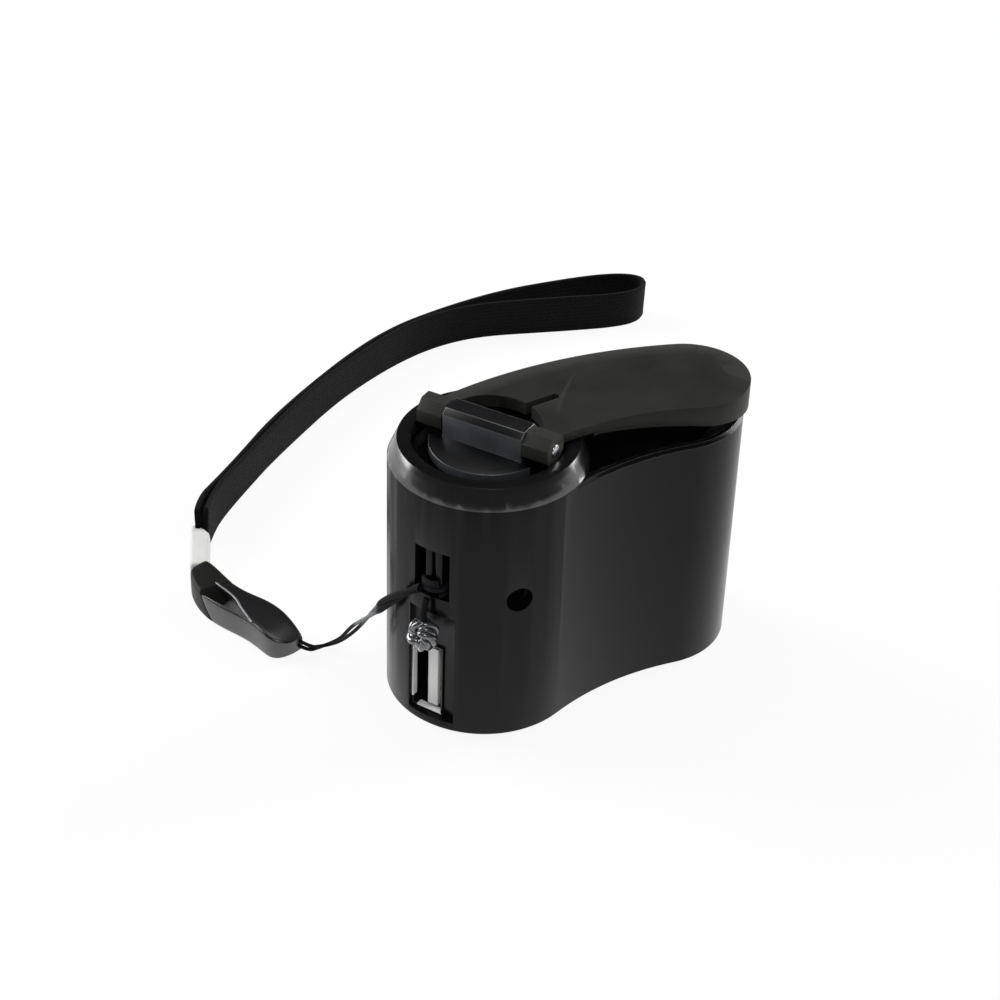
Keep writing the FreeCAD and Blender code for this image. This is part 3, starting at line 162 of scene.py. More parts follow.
def webbingFinish(name, colour, threadPitch=0.55, ribPitch=0.8):
    # Woven tape, on the tape's own map: U runs along it in metres and V across it.
    material, tree, surface = newMaterial(name)
    links = tree.links
    tape = addNode(tree, "ShaderNodeUVMap", uv_map="weave")
    split = addNode(tree, "ShaderNodeSeparateXYZ")
    links.new(tape.outputs["UV"], split.inputs["Vector"])

    def waveAlong(output, pitch, shift=None):
        scale = addNode(tree, "ShaderNodeMath", operation="MULTIPLY")
        scale.inputs[1].default_value = 2 * math.pi / (pitch * mm)
        links.new(output, scale.inputs[0])
        source = scale
        if shift is not None:
            source = addNode(tree, "ShaderNodeMath", operation="ADD")
            links.new(scale.outputs["Value"], source.inputs[0])
            links.new(shift, source.inputs[1])
        sine = addNode(tree, "ShaderNodeMath", operation="SINE")
        links.new(source.outputs["Value"], sine.inputs[0])
        return sine.outputs["Value"]

    ribs = waveAlong(split.outputs["Y"], ribPitch)
    half = addNode(tree, "ShaderNodeMath", operation="MULTIPLY")
    half.inputs[1].default_value = math.pi / 2
    links.new(ribs, half.inputs[0])
    threads = waveAlong(split.outputs["X"], threadPitch, half.outputs["Value"])
    weave = addNode(tree, "ShaderNodeMath", operation="ADD")
    links.new(ribs, weave.inputs[0])
    links.new(threads, weave.inputs[1])
    place = addNode(tree, "ShaderNodeTexCoord")
    fuzz = addNode(tree, "ShaderNodeTexNoise", Scale=3000.0, Detail=4.0)
    broad = addNode(tree, "ShaderNodeTexNoise", Scale=120.0, Detail=3.0)
    links.new(place.outputs["Object"], fuzz.inputs["Vector"])
    links.new(place.outputs["Object"], broad.inputs["Vector"])
    lift = addNode(tree, "ShaderNodeMath", operation="ADD")
    links.new(weave.outputs["Value"], lift.inputs[0])
    links.new(fuzz.outputs["Fac"], lift.inputs[1])
    bump = addNode(tree, "ShaderNodeBump", Strength=0.55, Distance=0.06 * mm)
    links.new(lift.outputs["Value"], bump.inputs["Height"])
    links.new(bump.outputs["Normal"], surface.inputs["Normal"])
    level = addNode(tree, "ShaderNodeMapRange")
    level.inputs["From Min"].default_value = -1.5
    level.inputs["From Max"].default_value = 2.5
    links.new(lift.outputs["Value"], level.inputs["Value"])
    # The weave's low threads are painted darker and its raised threads paler: painted shade and highlight.
    weaveShade = colourRamp(tree, [(0.0, shade(colour, 0.72)), (0.55, colour), (1.0, shade(colour, 1.25))])
    links.new(level.outputs["Result"], weaveShade.inputs["Fac"])
    tone = colourRamp(tree, [(0.3, (0.82, 0.82, 0.82)), (0.7, (1, 1, 1))])
    links.new(broad.outputs["Fac"], tone.inputs["Fac"])
    blend = addNode(tree, "ShaderNodeMix", data_type="RGBA", blend_type="MULTIPLY")
    blend.inputs["Factor"].default_value = 1.0
    links.new(weaveShade.outputs["Color"], blend.inputs["A"])
    links.new(tone.outputs["Color"], blend.inputs["B"])
    links.new(blend.outputs["Result"], surface.inputs["Base Color"])
    surface.inputs["Roughness"].default_value = 0.85
    surface.inputs["Specular IOR Level"].default_value = 0.1
    surface.inputs["Sheen Weight"].default_value = 0.03
    surface.inputs["Sheen Roughness"].default_value = 0.5
    return material


def cordFinish(name, dark, paleHighlight, highlightStart, highlightEnd):
    # Braided cord on its own map: U is the share of its length, V runs round it.
    material, tree, surface = newMaterial(name)
    links = tree.links
    strand = addNode(tree, "ShaderNodeUVMap", uv_map="strand")
    split = addNode(tree, "ShaderNodeSeparateXYZ")
    links.new(strand.outputs["UV"], split.inputs["Vector"])
    # A stretch along the cord's length is painted pale: a painted highlight.
    tone = colourRamp(tree, [(0.0, dark), (highlightStart, dark), (highlightStart + 0.06, paleHighlight), (highlightEnd, paleHighlight),
                             (highlightEnd + 0.06, dark), (1.0, dark)])
    links.new(split.outputs["X"], tone.inputs["Fac"])
    braid = addNode(tree, "ShaderNodeTexWave", wave_type="BANDS", bands_direction="DIAGONAL", Scale=3.0,
                    Distortion=1.5)
    stretch = addNode(tree, "ShaderNodeMapping")
    stretch.inputs["Scale"].default_value = (40.0, 4.0, 1.0)
    links.new(strand.outputs["UV"], stretch.inputs["Vector"])
    links.new(stretch.outputs["Vector"], braid.inputs["Vector"])
    bump = addNode(tree, "ShaderNodeBump", Strength=0.6, Distance=0.05 * mm)
    links.new(braid.outputs["Fac"], bump.inputs["Height"])
    links.new(bump.outputs["Normal"], surface.inputs["Normal"])
    # The braid's grooves are painted darker: painted shade.
    braidGrooveShade = colourRamp(tree, [(0.0, (0.65, 0.65, 0.65)), (1.0, (1, 1, 1))])
    links.new(braid.outputs["Fac"], braidGrooveShade.inputs["Fac"])
    blend = addNode(tree, "ShaderNodeMix", data_type="RGBA", blend_type="MULTIPLY")
    blend.inputs["Factor"].default_value = 1.0
    links.new(tone.outputs["Color"], blend.inputs["A"])
    links.new(braidGrooveShade.outputs["Color"], blend.inputs["B"])
    links.new(blend.outputs["Result"], surface.inputs["Base Color"])
    surface.inputs["Roughness"].default_value = 0.65
    surface.inputs["Specular IOR Level"].default_value = 0.1
    return material


def boardFinish(name):
    # Green laminate with faint tracks.
    material, tree, surface = newMaterial(name)
    links = tree.links
    place = addNode(tree, "ShaderNodeTexCoord")
    tracks = addNode(tree, "ShaderNodeTexVoronoi", Scale=420.0, feature="DISTANCE_TO_EDGE")
    links.new(place.outputs["Object"], tracks.inputs["Vector"])
    colour = colourRamp(tree, [(0.0, (0.03, 0.16, 0.06)), (0.08, (0.008, 0.07, 0.025)),
                               (1.0, (0.006, 0.06, 0.02))])
    links.new(tracks.outputs["Distance"], colour.inputs["Fac"])
    links.new(colour.outputs["Color"], surface.inputs["Base Color"])
    bump = addNode(tree, "ShaderNodeBump", Strength=0.3, Distance=0.03 * mm)
    links.new(tracks.outputs["Distance"], bump.inputs["Height"])
    links.new(bump.outputs["Normal"], surface.inputs["Normal"])
    surface.inputs["Roughness"].default_value = 0.35
    return material


finishes = {
    "casing_plastic": mouldedFinish("casingPlastic", (0.0024, 0.0025, 0.003), 0.25, specular=0.18,
                                    grain=0.08),
    "casing_edge": mouldedFinish("casingEdge", (0.0035, 0.0037, 0.0046), 0.2, specular=1.0, grain=0.08,
                                 coat=0.15),
    # Pale grey for the wall's rim roundings: a painted highlight.
    "casing_rim_highlight": mouldedFinish("casingRimPaintedHighlight", (0.24, 0.243, 0.255), 0.3, specular=0.8, grain=0.08),
    # The crank's roundings are painted paler than the arm: a painted highlight.
    "crank_edge_highlight": mouldedFinish("crankEdgePaintedHighlight", (0.06, 0.06, 0.057), 0.3, specular=0.8, grain=0.1),
    # The hub's roundings are painted paler than the hub: a painted highlight.
    "hub_edge_highlight": mouldedFinish("hubEdgePaintedHighlight", (0.035, 0.036, 0.04), 0.24, specular=0.9, grain=0.1),
    "crank_plastic": mouldedFinish("crankPlastic", (0.0185, 0.0188, 0.0168), 0.48, specular=0.15,
                                   grain=0.15),
    "hub_plastic": mouldedFinish("hubPlastic", (0.0028, 0.003, 0.0037), 0.34, specular=0.3, grain=0.1),
    # Paler grey for the barrel's upright flats: a painted highlight.
    "hub_flat_highlight": mouldedFinish("hubFlatPaintedHighlight", (0.055, 0.059, 0.066), 0.3, specular=0.8, grain=0.08, mottle=0.45),
    "knob_plastic": mouldedFinish("knobPlastic", (0.009, 0.009, 0.0095), 0.4, grain=0.3),
    "screw_steel": mouldedFinish("screwSteel", (0.55, 0.55, 0.56), 0.3, specular=0.5, metallic=1.0,
                                 wornAndHighlit=1.2),
    "pin_steel": mouldedFinish("pinSteel", (0.62, 0.63, 0.66), 0.22, specular=0.5, metallic=1.0, wornAndHighlit=1.2),
    "bearing_bronze": mouldedFinish("bearingBronze", (0.45, 0.27, 0.1), 0.42, specular=0.5, metallic=1.0),
    "gear_plastic": mouldedFinish("gearNylon", (0.72, 0.7, 0.62), 0.42, specular=0.4, mottle=0.05, wornAndHighlit=1.1),
    "inner_plastic": mouldedFinish("innerPlastic", (0.03, 0.03, 0.033), 0.5),
    "generator_steel": mouldedFinish("generatorSteel", (0.5, 0.5, 0.5), 0.35, specular=0.5, metallic=1.0),
    "coil_copper": mouldedFinish("coilCopper", (0.55, 0.17, 0.06), 0.35, specular=0.5, metallic=1.0,
                                 grain=0.9),
    "magnet_ferrite": mouldedFinish("magnetFerrite", (0.045, 0.045, 0.05), 0.6),
    "board_laminate": boardFinish("boardLaminate"),
    # The shell's nickel is painted dark: painted shade.
    "socket_shell": mouldedFinish("socketNickelPaintedShade", (0.05, 0.05, 0.052), 0.36, specular=0.5, metallic=1.0,
                                  mottle=0.05, grain=0.08, wornAndHighlit=1.1),
    # Near white for the socket's mouth: a painted reflection.
    "socket_mouth_highlight": mouldedFinish("socketMouthPaintedHighlight", (0.95, 0.96, 0.95), 0.42, specular=0.5, metallic=0.1,
                                  mottle=0.05, grain=0.08, wornAndHighlit=1.1),
    "socket_tongue": mouldedFinish("socketTongue", (0.74, 0.74, 0.69), 0.4, specular=0.5, mottle=0.04,
                                   wornAndHighlit=1.05),
    "contact_gold": mouldedFinish("contactGold", (0.75, 0.52, 0.2), 0.25, specular=0.5, metallic=1.0,
                                  wornAndHighlit=1.2),
    "component_black": mouldedFinish("componentBlack", (0.02, 0.02, 0.022), 0.45),
    "led_lens": mouldedFinish("lightLens", (0.035, 0.008, 0.008), 0.18, specular=0.5, coat=0.4),
    # The cord's pale stretch is a painted highlight.
    "cord_black": cordFinish("cordBraid", (0.006, 0.0063, 0.008), (0.26, 0.27, 0.29), 0.28, 0.52),
    "cord_dark": cordFinish("cordDark", (0.008, 0.0083, 0.0105), (0.008, 0.0083, 0.0105), 0.3, 0.6),
    "cord_silver": mouldedFinish("cordSilver", (0.032, 0.035, 0.041), 0.13, specular=1.0, coat=1.0,
                                 grain=0.5, mottle=0.4),
    "buckle_plastic": mouldedFinish("bucklePlastic", (0.0035, 0.0037, 0.0045), 0.28, specular=0.6,
                                    grain=0.06),
    # Paler and glossier sides for the buckle: a painted sheen.
    "buckle_side_sheen": mouldedFinish("buckleSidePaintedSheen", (0.009, 0.0095, 0.011), 0.24, specular=1.0, grain=0.05,
                                 coat=0.25),
    "plug_plastic": mouldedFinish("plugPlastic", (0.0125, 0.0125, 0.0108), 0.4, specular=0.08, grain=0.12),
    # Light grey for the buckle window's lip: a painted highlight.
    "lip_highlight": mouldedFinish("lipPaintedHighlight", (0.12, 0.12, 0.13), 0.3, specular=0.6, grain=0.05),
    "ferrule_white": mouldedFinish("ferruleWhite", (0.63, 0.635, 0.59), 0.6, specular=0.3, mottle=0.05,
                                   wornAndHighlit=1.1),
    "strap_webbing": webbingFinish("strapWebbing", (0.0048, 0.0049, 0.0052)),
}
print("finishes made:", len(finishes))


# Small helpers for the pieces.
def pickOnly(piece):
    bpy.ops.object.select_all(action="DESELECT")
    piece.select_set(True)
    bpy.context.view_layer.objects.active = piece


def newPiece(name, points, faces):
    mesh = bpy.data.meshes.new(name)
    mesh.from_pydata([tuple(point) for point in points], [], faces)
    piece = bpy.data.objects.new(name, mesh)
    bpy.context.scene.collection.objects.link(piece)
    return piece


def applyModifier(piece, kind, **settings):
    pickOnly(piece)
    modifier = piece.modifiers.new(kind.title(), kind)
    for key, value in settings.items():
        setattr(modifier, key, value)
    bpy.ops.object.modifier_apply(modifier=modifier.name)


def dress(piece, slotName, body, *replaced, finish=None):
    if not piece.data.materials:
        piece.data.materials.append(finishes[finish or slotName])
    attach(piece, body)
    if replaced:
        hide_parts(*replaced)
    return piece


def smoothAt(piece, degrees):
    pickOnly(piece)
    bpy.ops.object.shade_smooth_by_angle(angle=math.radians(degrees))


def faceOutwards(piece):
    pickOnly(piece)
    bpy.ops.object.mode_set(mode="EDIT")
    bpy.ops.mesh.select_all(action="SELECT")
    bpy.ops.mesh.normals_make_consistent(inside=False)
    bpy.ops.object.mode_set(mode="OBJECT")


def scoreMesh(piece, planes):
    # Cuts new edges along the planes, each given by a point and a direction. Nothing is taken off.
    pickOnly(piece)
    bpy.ops.object.mode_set(mode="EDIT")
    for place, direction in planes:
        bpy.ops.mesh.select_all(action="SELECT")
        bpy.ops.mesh.bisect(plane_co=place, plane_no=direction)
    bpy.ops.mesh.select_all(action="DESELECT")
    bpy.ops.object.mode_set(mode="OBJECT")


def seat(piece):
    # Puts the piece's place, turn and scale into its mesh.
    pickOnly(piece)
    bpy.ops.object.transform_apply(location=True, rotation=True, scale=True)


def smoothStep(value):
    value = min(1.0, max(0.0, value))
    return value * value * (3 - 2 * value)


def nurbsRoute(name, points, resolution=24):
    curve = bpy.data.curves.new(name, "CURVE")
    curve.dimensions = "3D"
    curve.resolution_u = resolution
    spline = curve.splines.new("NURBS")
    spline.points.add(len(points) - 1)
    for slot, point in zip(spline.points, points):
        slot.co = (*point, 1)
    spline.order_u = 3
    spline.use_endpoint_u = True
    route = bpy.data.objects.new(name, curve)
    bpy.context.scene.collection.objects.link(route)
    bpy.context.view_layer.update()
    mesh = bpy.data.meshes.new_from_object(route.evaluated_get(bpy.context.evaluated_depsgraph_get()))
    line = [vertex.co.copy() for vertex in mesh.vertices]
    bpy.data.objects.remove(route)
    bpy.data.meshes.remove(mesh)
    return line


def lineFrames(line, closed=False):
    # A tangent, a side and a lift at each point, turned as little as possible from one to the next.
    frames = []
    count = len(line)
    side = None
    for index in range(count):
        before = line[index - 1] if index > 0 or closed else line[index]
        after = line[(index + 1) % count] if index < count - 1 or closed else line[index]
        tangent = (after - before).normalized()
        if side is None:
            side = tangent.cross(Vector((0, 0, 1)))
            if side.length < 0.1:
                side = tangent.cross(Vector((1, 0, 0)))
        side = (side - tangent * side.dot(tangent)).normalized()
        frames.append((tangent, side, tangent.cross(side)))
    return frames


def lineLengths(line):
    lengths = [0.0]
    for before, after in zip(line, line[1:]):
        lengths.append(lengths[-1] + (after - before).length)
    return lengths


def tubePiece(name, lines, radius, around=12, closed=False, taper=None):
    # Round tubes along the given lines, as one mesh, with the map that the cord's finish reads.
    points, faces, shares = [], [], []
    for line in lines:
        frames = lineFrames(line, closed)
        lengths = lineLengths(line)
        start = len(points)
        for index, (place, (tangent, side, lift)) in enumerate(zip(line, frames)):
            share = lengths[index] / lengths[-1]
            width = radius * (taper(share) if taper else 1.0)
            for step in range(around):
                angle = 2 * math.pi * step / around
                points.append(place + (side * math.cos(angle) + lift * math.sin(angle)) * width)
                shares.append((share, step / around))
        rings = len(line)
        for index in range(rings if closed else rings - 1):
            here = start + index * around
            there = start + ((index + 1) % rings) * around
            for step in range(around):
                after = (step + 1) % around
                faces.append((here + step, there + step, there + after, here + after))
        if not closed:
            faces.append(tuple(start + step for step in range(around)))
            last = start + (rings - 1) * around
            faces.append(tuple(last + step for step in reversed(range(around))))
    piece = newPiece(name, points, faces)
    layer = piece.data.uv_layers.new(name="strand")
    for loop in piece.data.loops:
        layer.data[loop.index].uv = shares[loop.vertex_index]
    faceOutwards(piece)
    smoothAt(piece, 50)
    return piece


# Lanyard cord: two strands laid side by side, from the bar in the pocket to the buckle's nose.
cordValues = {
    "route": [
        (-15.1, -6.0, 26.9), (-16.6, -4.2, 25.4), (-17.4, -0.4, 21.6), (-17.7, 3.8, 16.8), (-17.5, 8.4, 11.6),
        (-17.2, 12.8, 6.6), (-17.2, 16.2, 2.6), (-18.2, 18.0, 0.85), (-20.2, 18.1, 0.85), (-22.2, 17.4, 1.7),
        (-23.4, 18.8, 2.3),
    ],
    "strandRadius": 0.42,
    "strandOffset": 0.4,
    "turns": 1.2,
    "thickUntil": 0.27,     # the doubled part by the casing, as shares of the length
    "thinFrom": 0.34,
    "thick": 1.3,           # both as shares of strandRadius
    "thin": 0.72,
}


def cordSwell(share):
    values = cordValues
    turned = smoothStep((share - values["thickUntil"]) / (values["thinFrom"] - values["thickUntil"]))
    return values["thick"] + (values["thin"] - values["thick"]) * turned


def twistedStrands(line, values):
    frames = lineFrames(line)
    lengths = lineLengths(line)
    strands = []
    for phase in (0, math.pi):
        strand = []
        for place, (tangent, side, lift), length in zip(line, frames, lengths):
            angle = phase + values["turns"] * 2 * math.pi * length / lengths[-1]
            offset = (side * math.cos(angle) + lift * math.sin(angle)) * values["strandOffset"] * mm
            strand.append(place + offset)
        strands.append(strand)
    return strands


cordLine = nurbsRoute("cordRoute", metres(cordValues["route"]))
cordPiece = tubePiece("lanyardCord", twistedStrands(cordLine, cordValues), cordValues["strandRadius"] * mm,
                      taper=cordSwell)
dress(cordPiece, "cord_black", "casing", "lanyard_cord")

# Hitch round the pocket's bar, and the knot that hangs from it.
portAngle = math.radians(-153.3)


def fromPort(x, y, z):
    # From the socket's own frame, X outwards, to the casing's.
    return Vector((x * math.cos(portAngle) - y * math.sin(portAngle),
                   x * math.sin(portAngle) + y * math.cos(portAngle), z)) * mm


hitchValues = {
    "barPlace": 13.6,
    "ringRadius": 1.95,
    "strandRadius": 0.5,
    "bottom": 25.95,
    "turns": 2,
    "pitch": 1.0,
    "startAngle": 40.0,
    "stepsPerTurn": 40,
}


def hitchLine(values):
    line = []
    steps = values["stepsPerTurn"] * values["turns"]
    for step in range(steps + 1):
        angle = 2 * math.pi * values["turns"] * step / steps + math.radians(values["startAngle"])
        line.append(fromPort(values["barPlace"] + values["ringRadius"] * math.cos(angle),
                             values["ringRadius"] * math.sin(angle),
                             values["bottom"] + values["pitch"] * values["turns"] * step / steps))
    return line


hitchPiece = tubePiece("lanyardHitch", [hitchLine(hitchValues)], hitchValues["strandRadius"] * mm)
dress(hitchPiece, "cord_black", "casing", "lanyard_hitch", finish="cord_dark")

knotValues = {
    "centre": (-15.2, -7.3, 18.9),
    "strandRadius": 0.5,
    "big": 1.55,
    "small": 0.72,
    "wraps": 5,
    "rounds": 2,
    "depth": 1.5,           # as a share of small
    "lean": 70.0,
    "tangle": ((0, 1.0), (55, 0.85), (110, 0.95)),    # tilt and size of each loop of loops
    "steps": 240,
    "tail": [(-14.6, -7.2, 25.4), (-15.3, -7.3, 23.4), (-15.1, -7.2, 21.4), (-15.0, -7.1, 20.2)],
    "tailRadius": 0.52,
}


def knotLine(values, tilt, size):
    # A wreath of loops about the knot's middle.
    line = []
    turn = Matrix.Rotation(portAngle, 3, "Z") @ Matrix.Rotation(math.radians(tilt), 3, "X")
    turn = turn @ Matrix.Rotation(math.radians(values["lean"]), 3, "Y")
    for step in range(values["steps"]):
        angle = 2 * math.pi * step / values["steps"]
        swell = values["big"] + values["small"] * math.cos(values["wraps"] * angle)
        around = values["rounds"] * angle
        point = Vector((swell * math.cos(around), swell * math.sin(around),
                        values["small"] * values["depth"] * math.sin(values["wraps"] * angle)))
        line.append((Vector(values["centre"]) + turn @ (point * size)) * mm)
    return line


knotLines = [knotLine(knotValues, tilt, size) for tilt, size in knotValues["tangle"]]
knotPiece = tubePiece("lanyardKnot", knotLines, knotValues["strandRadius"] * mm, closed=True, around=10)
dress(knotPiece, "cord_silver", "casing", "lanyard_knot")
tailLine = nurbsRoute("tailRoute", metres(knotValues["tail"]))
tailPiece = tubePiece("knotTail", [tailLine], knotValues["tailRadius"] * mm)
dress(tailPiece, "cord_black", "casing", finish="cord_dark")
print("hitch and knot made")


# Quick-release buckle, lofted along its own X and laid on the surface.
buckleValues = {
    "middle": (-29.33, 34.0, 0.0),
    "angle": -73.0,
    # x, left side, right side, bottom, top
    "stations": [
        (-9.8, 4.15, 1.5, 0.6, 4.15),
        (-9.45, 4.3, 0.6, 0.25, 4.6),
        (-8.6, 4.3, -0.35, 0.0, 4.85),
        (-7.4, 4.2, -1.2, 0.0, 4.85),
        (-5.8, 3.95, -2.05, 0.0, 4.85),
        (-3.6, 3.5, -2.85, 0.0, 4.85),
        (-1.4, 3.1, -3.3, 0.0, 4.85),
        (1.0, 3.0, -3.35, 0.0, 4.85),
        (3.4, 3.35, -3.2, 0.0, 4.85),
        (6.0, 3.85, -2.85, 0.0, 4.85),
        (8.4, 3.9, -2.75, 0.0, 4.85),
        (10.6, 3.65, -2.95, 0.0, 4.8),
        (12.4, 3.2, -3.2, 0.0, 4.65),
        (13.8, 2.85, -3.15, 0.0, 4.4),
        (15.0, 2.5, -2.6, 0.3, 4.05),
        (15.8, 2.2, -1.6, 0.7, 3.75),
        (16.3, 1.95, -0.8, 1.05, 3.5),
    ],
    "edge": 0.42,
    "lean": 0.95,                # the section's width at its top, as a share of that at its foot
    "parting": ((-3.1, -1.5, 4.8), (0.744, -0.265, 0.613)),    # a point on it and its direction
    "partingGap": 0.22,
    "partingEdge": 0.2,
    "window": ((-5.0, 1.0), (-1.6, 0.45), (0.0, 0.4), (2.5, -0.05), (4.6, -1.0), (8.2, -2.25), (6.0, -2.32),
               (3.8, -2.5), (-0.2, -2.8), (-5.0, -2.8)),
    "windowFloor": 2.4,
    "windowTop": 6.0,
    "lip": ((-3.2, 0.75, 4.72), (-1.6, 0.5, 4.8), (0.0, 0.45, 4.82), (2.6, 0.0, 4.82), (4.7, -0.95, 4.82),
            (6.6, -1.65, 4.8), (8.9, -2.35, 4.68)),
    "lipRadius": 0.2,
    # The sides are painted paler as a painted sheen, and polished.
    "sideTop": 4.6,              # the polished sides end here,
    "sideTurn": 0.45,            # and where a face's normal points up by more than this
}


def intoPlace(piece, values):
    piece.rotation_euler = (0, 0, math.radians(values["angle"]))
    piece.location = Vector(values["middle"]) * mm
    seat(piece)


def stationMiddle(station):
    x, left, right, bottom, top = station
    return Vector((x, (left + right) / 2, (bottom + top) / 2)) * mm


def loftPiece(name, stations, edge, lean=1.0):
    # A rounded block section, carried along X and resized at each station.
    bpy.ops.object.select_all(action="DESELECT")
    bpy.ops.mesh.primitive_plane_add(size=1, rotation=(0, math.radians(90), 0))
    piece = bpy.context.object
    piece.name = name
    piece.data.name = name
    x, left, right, bottom, top = stations[0]
    middle = stationMiddle(stations[0])
    piece.scale = ((top - bottom) * mm, (left - right) * mm, 1)
    piece.location = middle
    seat(piece)
    for vertex in piece.data.vertices:
        vertex.select = vertex.co.z > middle.z
    bpy.ops.object.mode_set(mode="EDIT")
    bpy.ops.transform.resize(value=(1, lean, 1), center_override=middle)
    bpy.ops.mesh.select_all(action="SELECT")
    bpy.ops.mesh.bevel(offset=edge * mm, affect="VERTICES", segments=3)
    for before, after in zip(stations, stations[1:]):
        middle = stationMiddle(after)
        wider = (after[1] - after[2]) / (before[1] - before[2])
        taller = (after[4] - after[3]) / (before[4] - before[3])
        bpy.ops.mesh.extrude_region_move(TRANSFORM_OT_translate={"value": middle - stationMiddle(before)})
        bpy.ops.transform.resize(value=(1, wider, taller), center_override=middle)
    bpy.ops.object.mode_set(mode="OBJECT")
    faceOutwards(piece)
    return piece


def cutAway(piece, place, direction, inner=False):
    # Takes off what lies beyond the plane, and closes the cut.
    pickOnly(piece)
    bpy.ops.object.mode_set(mode="EDIT")
    bpy.ops.mesh.select_all(action="SELECT")
    bpy.ops.mesh.bisect(plane_co=place, plane_no=direction, use_fill=True, clear_inner=inner,
                        clear_outer=not inner)
    bpy.ops.object.mode_set(mode="OBJECT")


def prismPiece(name, outline, low, high):
    # An upright block on the given outline.
    prism = newPiece(name, [Vector((x, y, low)) * mm for x, y in outline], [tuple(range(len(outline)))])
    pickOnly(prism)
    bpy.ops.object.mode_set(mode="EDIT")
    bpy.ops.mesh.select_all(action="SELECT")
    bpy.ops.mesh.extrude_region_move(TRANSFORM_OT_translate={"value": (0, 0, (high - low) * mm)})
    bpy.ops.object.mode_set(mode="OBJECT")
    faceOutwards(prism)
    return prism


def buckleHalf(name, values, inner):
    # The whole buckle's form, cut at the slanting parting.
    piece = loftPiece(name, values["stations"], values["edge"], values["lean"])
    place, direction = values["parting"]
    shift = Vector(direction) * values["partingGap"] / 2 * (1 if inner else -1)
    cutAway(piece, (Vector(place) + shift) * mm, direction, inner)
    applyModifier(piece, "BEVEL", width=values["partingEdge"] * mm, segments=2, limit_method="ANGLE",
                  angle_limit=math.radians(50))
    applyModifier(piece, "SUBSURF", levels=2, render_levels=2)
    return piece


socketPiece = buckleHalf("buckleSocket", buckleValues, True)
windowCutter = prismPiece("windowCutter", buckleValues["window"], buckleValues["windowFloor"],
                          buckleValues["windowTop"])
applyModifier(socketPiece, "BOOLEAN", operation="DIFFERENCE", object=windowCutter, solver="EXACT")
bpy.data.objects.remove(windowCutter)
intoPlace(socketPiece, buckleValues)
smoothAt(socketPiece, 35)
dress(socketPiece, "buckle_plastic", "casing", "buckle_socket")
socketPiece.data.materials.append(finishes["buckle_side_sheen"])
# Faces of the sides take the paler finish: a painted sheen.
for face in socketPiece.data.polygons:
    if face.normal.z < buckleValues["sideTurn"] and face.center.z < buckleValues["sideTop"] * mm:
        face.material_index = 1

# The window's rounded lip is painted light grey: a painted highlight.
lipLine = nurbsRoute("lipRoute", metres(buckleValues["lip"]))
lipPiece = tubePiece("buckleWindowLip", [lipLine], buckleValues["lipRadius"] * mm, around=10)
intoPlace(lipPiece, buckleValues)
dress(lipPiece, "buckle_plastic", "casing", finish="lip_highlight")

plugPiece = buckleHalf("bucklePlug", buckleValues, False)
intoPlace(plugPiece, buckleValues)
smoothAt(plugPiece, 35)
dress(plugPiece, "buckle_plastic", "casing", "buckle_plug", finish="plug_plastic")
print("buckle made")


# Ferrule that holds the strap's two ends.
ferruleValues = {
    "start": (-29.5, 44.05, 0.0),
    "end": (-24.80, 53.88, 0.0),
    "width": 3.45,
    "bottom": 0.5,
    "top": 4.25,
    "edge": 0.6,
    "mouthSlant": 52.0,      # the left side is the longer one
    # share of the length, share of the full section
    "stations": ((0.0, 0.92), (0.06, 0.99), (0.3, 0.98), (0.55, 0.97), (0.8, 1.0), (1.0, 1.0)),
}


def ferruleStations(values):
    length = (Vector(values["end"]) - Vector(values["start"])).length
    reach = length + values["width"] / 2
    half = values["width"] / 2
    middle = (values["bottom"] + values["top"]) / 2
    rise = (values["top"] - values["bottom"]) / 2
    return [(share * reach, half * size, -half * size, middle - rise * size, middle + rise * size)
            for share, size in values["stations"]]


ferruleRun = Vector(ferruleValues["end"]) - Vector(ferruleValues["start"])
ferruleAngle = math.atan2(ferruleRun.y, ferruleRun.x)
mouthAngle = ferruleAngle - math.radians(ferruleValues["mouthSlant"])
mouthDirection = Vector((math.cos(mouthAngle), math.sin(mouthAngle), 0))
ferrulePiece = loftPiece("strapFerrule", ferruleStations(ferruleValues), ferruleValues["edge"])
applyModifier(ferrulePiece, "SUBSURF", levels=2, render_levels=2)
ferrulePiece.rotation_euler = (0, 0, ferruleAngle)
ferrulePiece.location = Vector(ferruleValues["start"]) * mm
seat(ferrulePiece)
cutAway(ferrulePiece, Vector(ferruleValues["end"]) * mm, mouthDirection)
smoothAt(ferrulePiece, 40)
dress(ferrulePiece, "ferrule_white", "casing", "strap_ferrule")


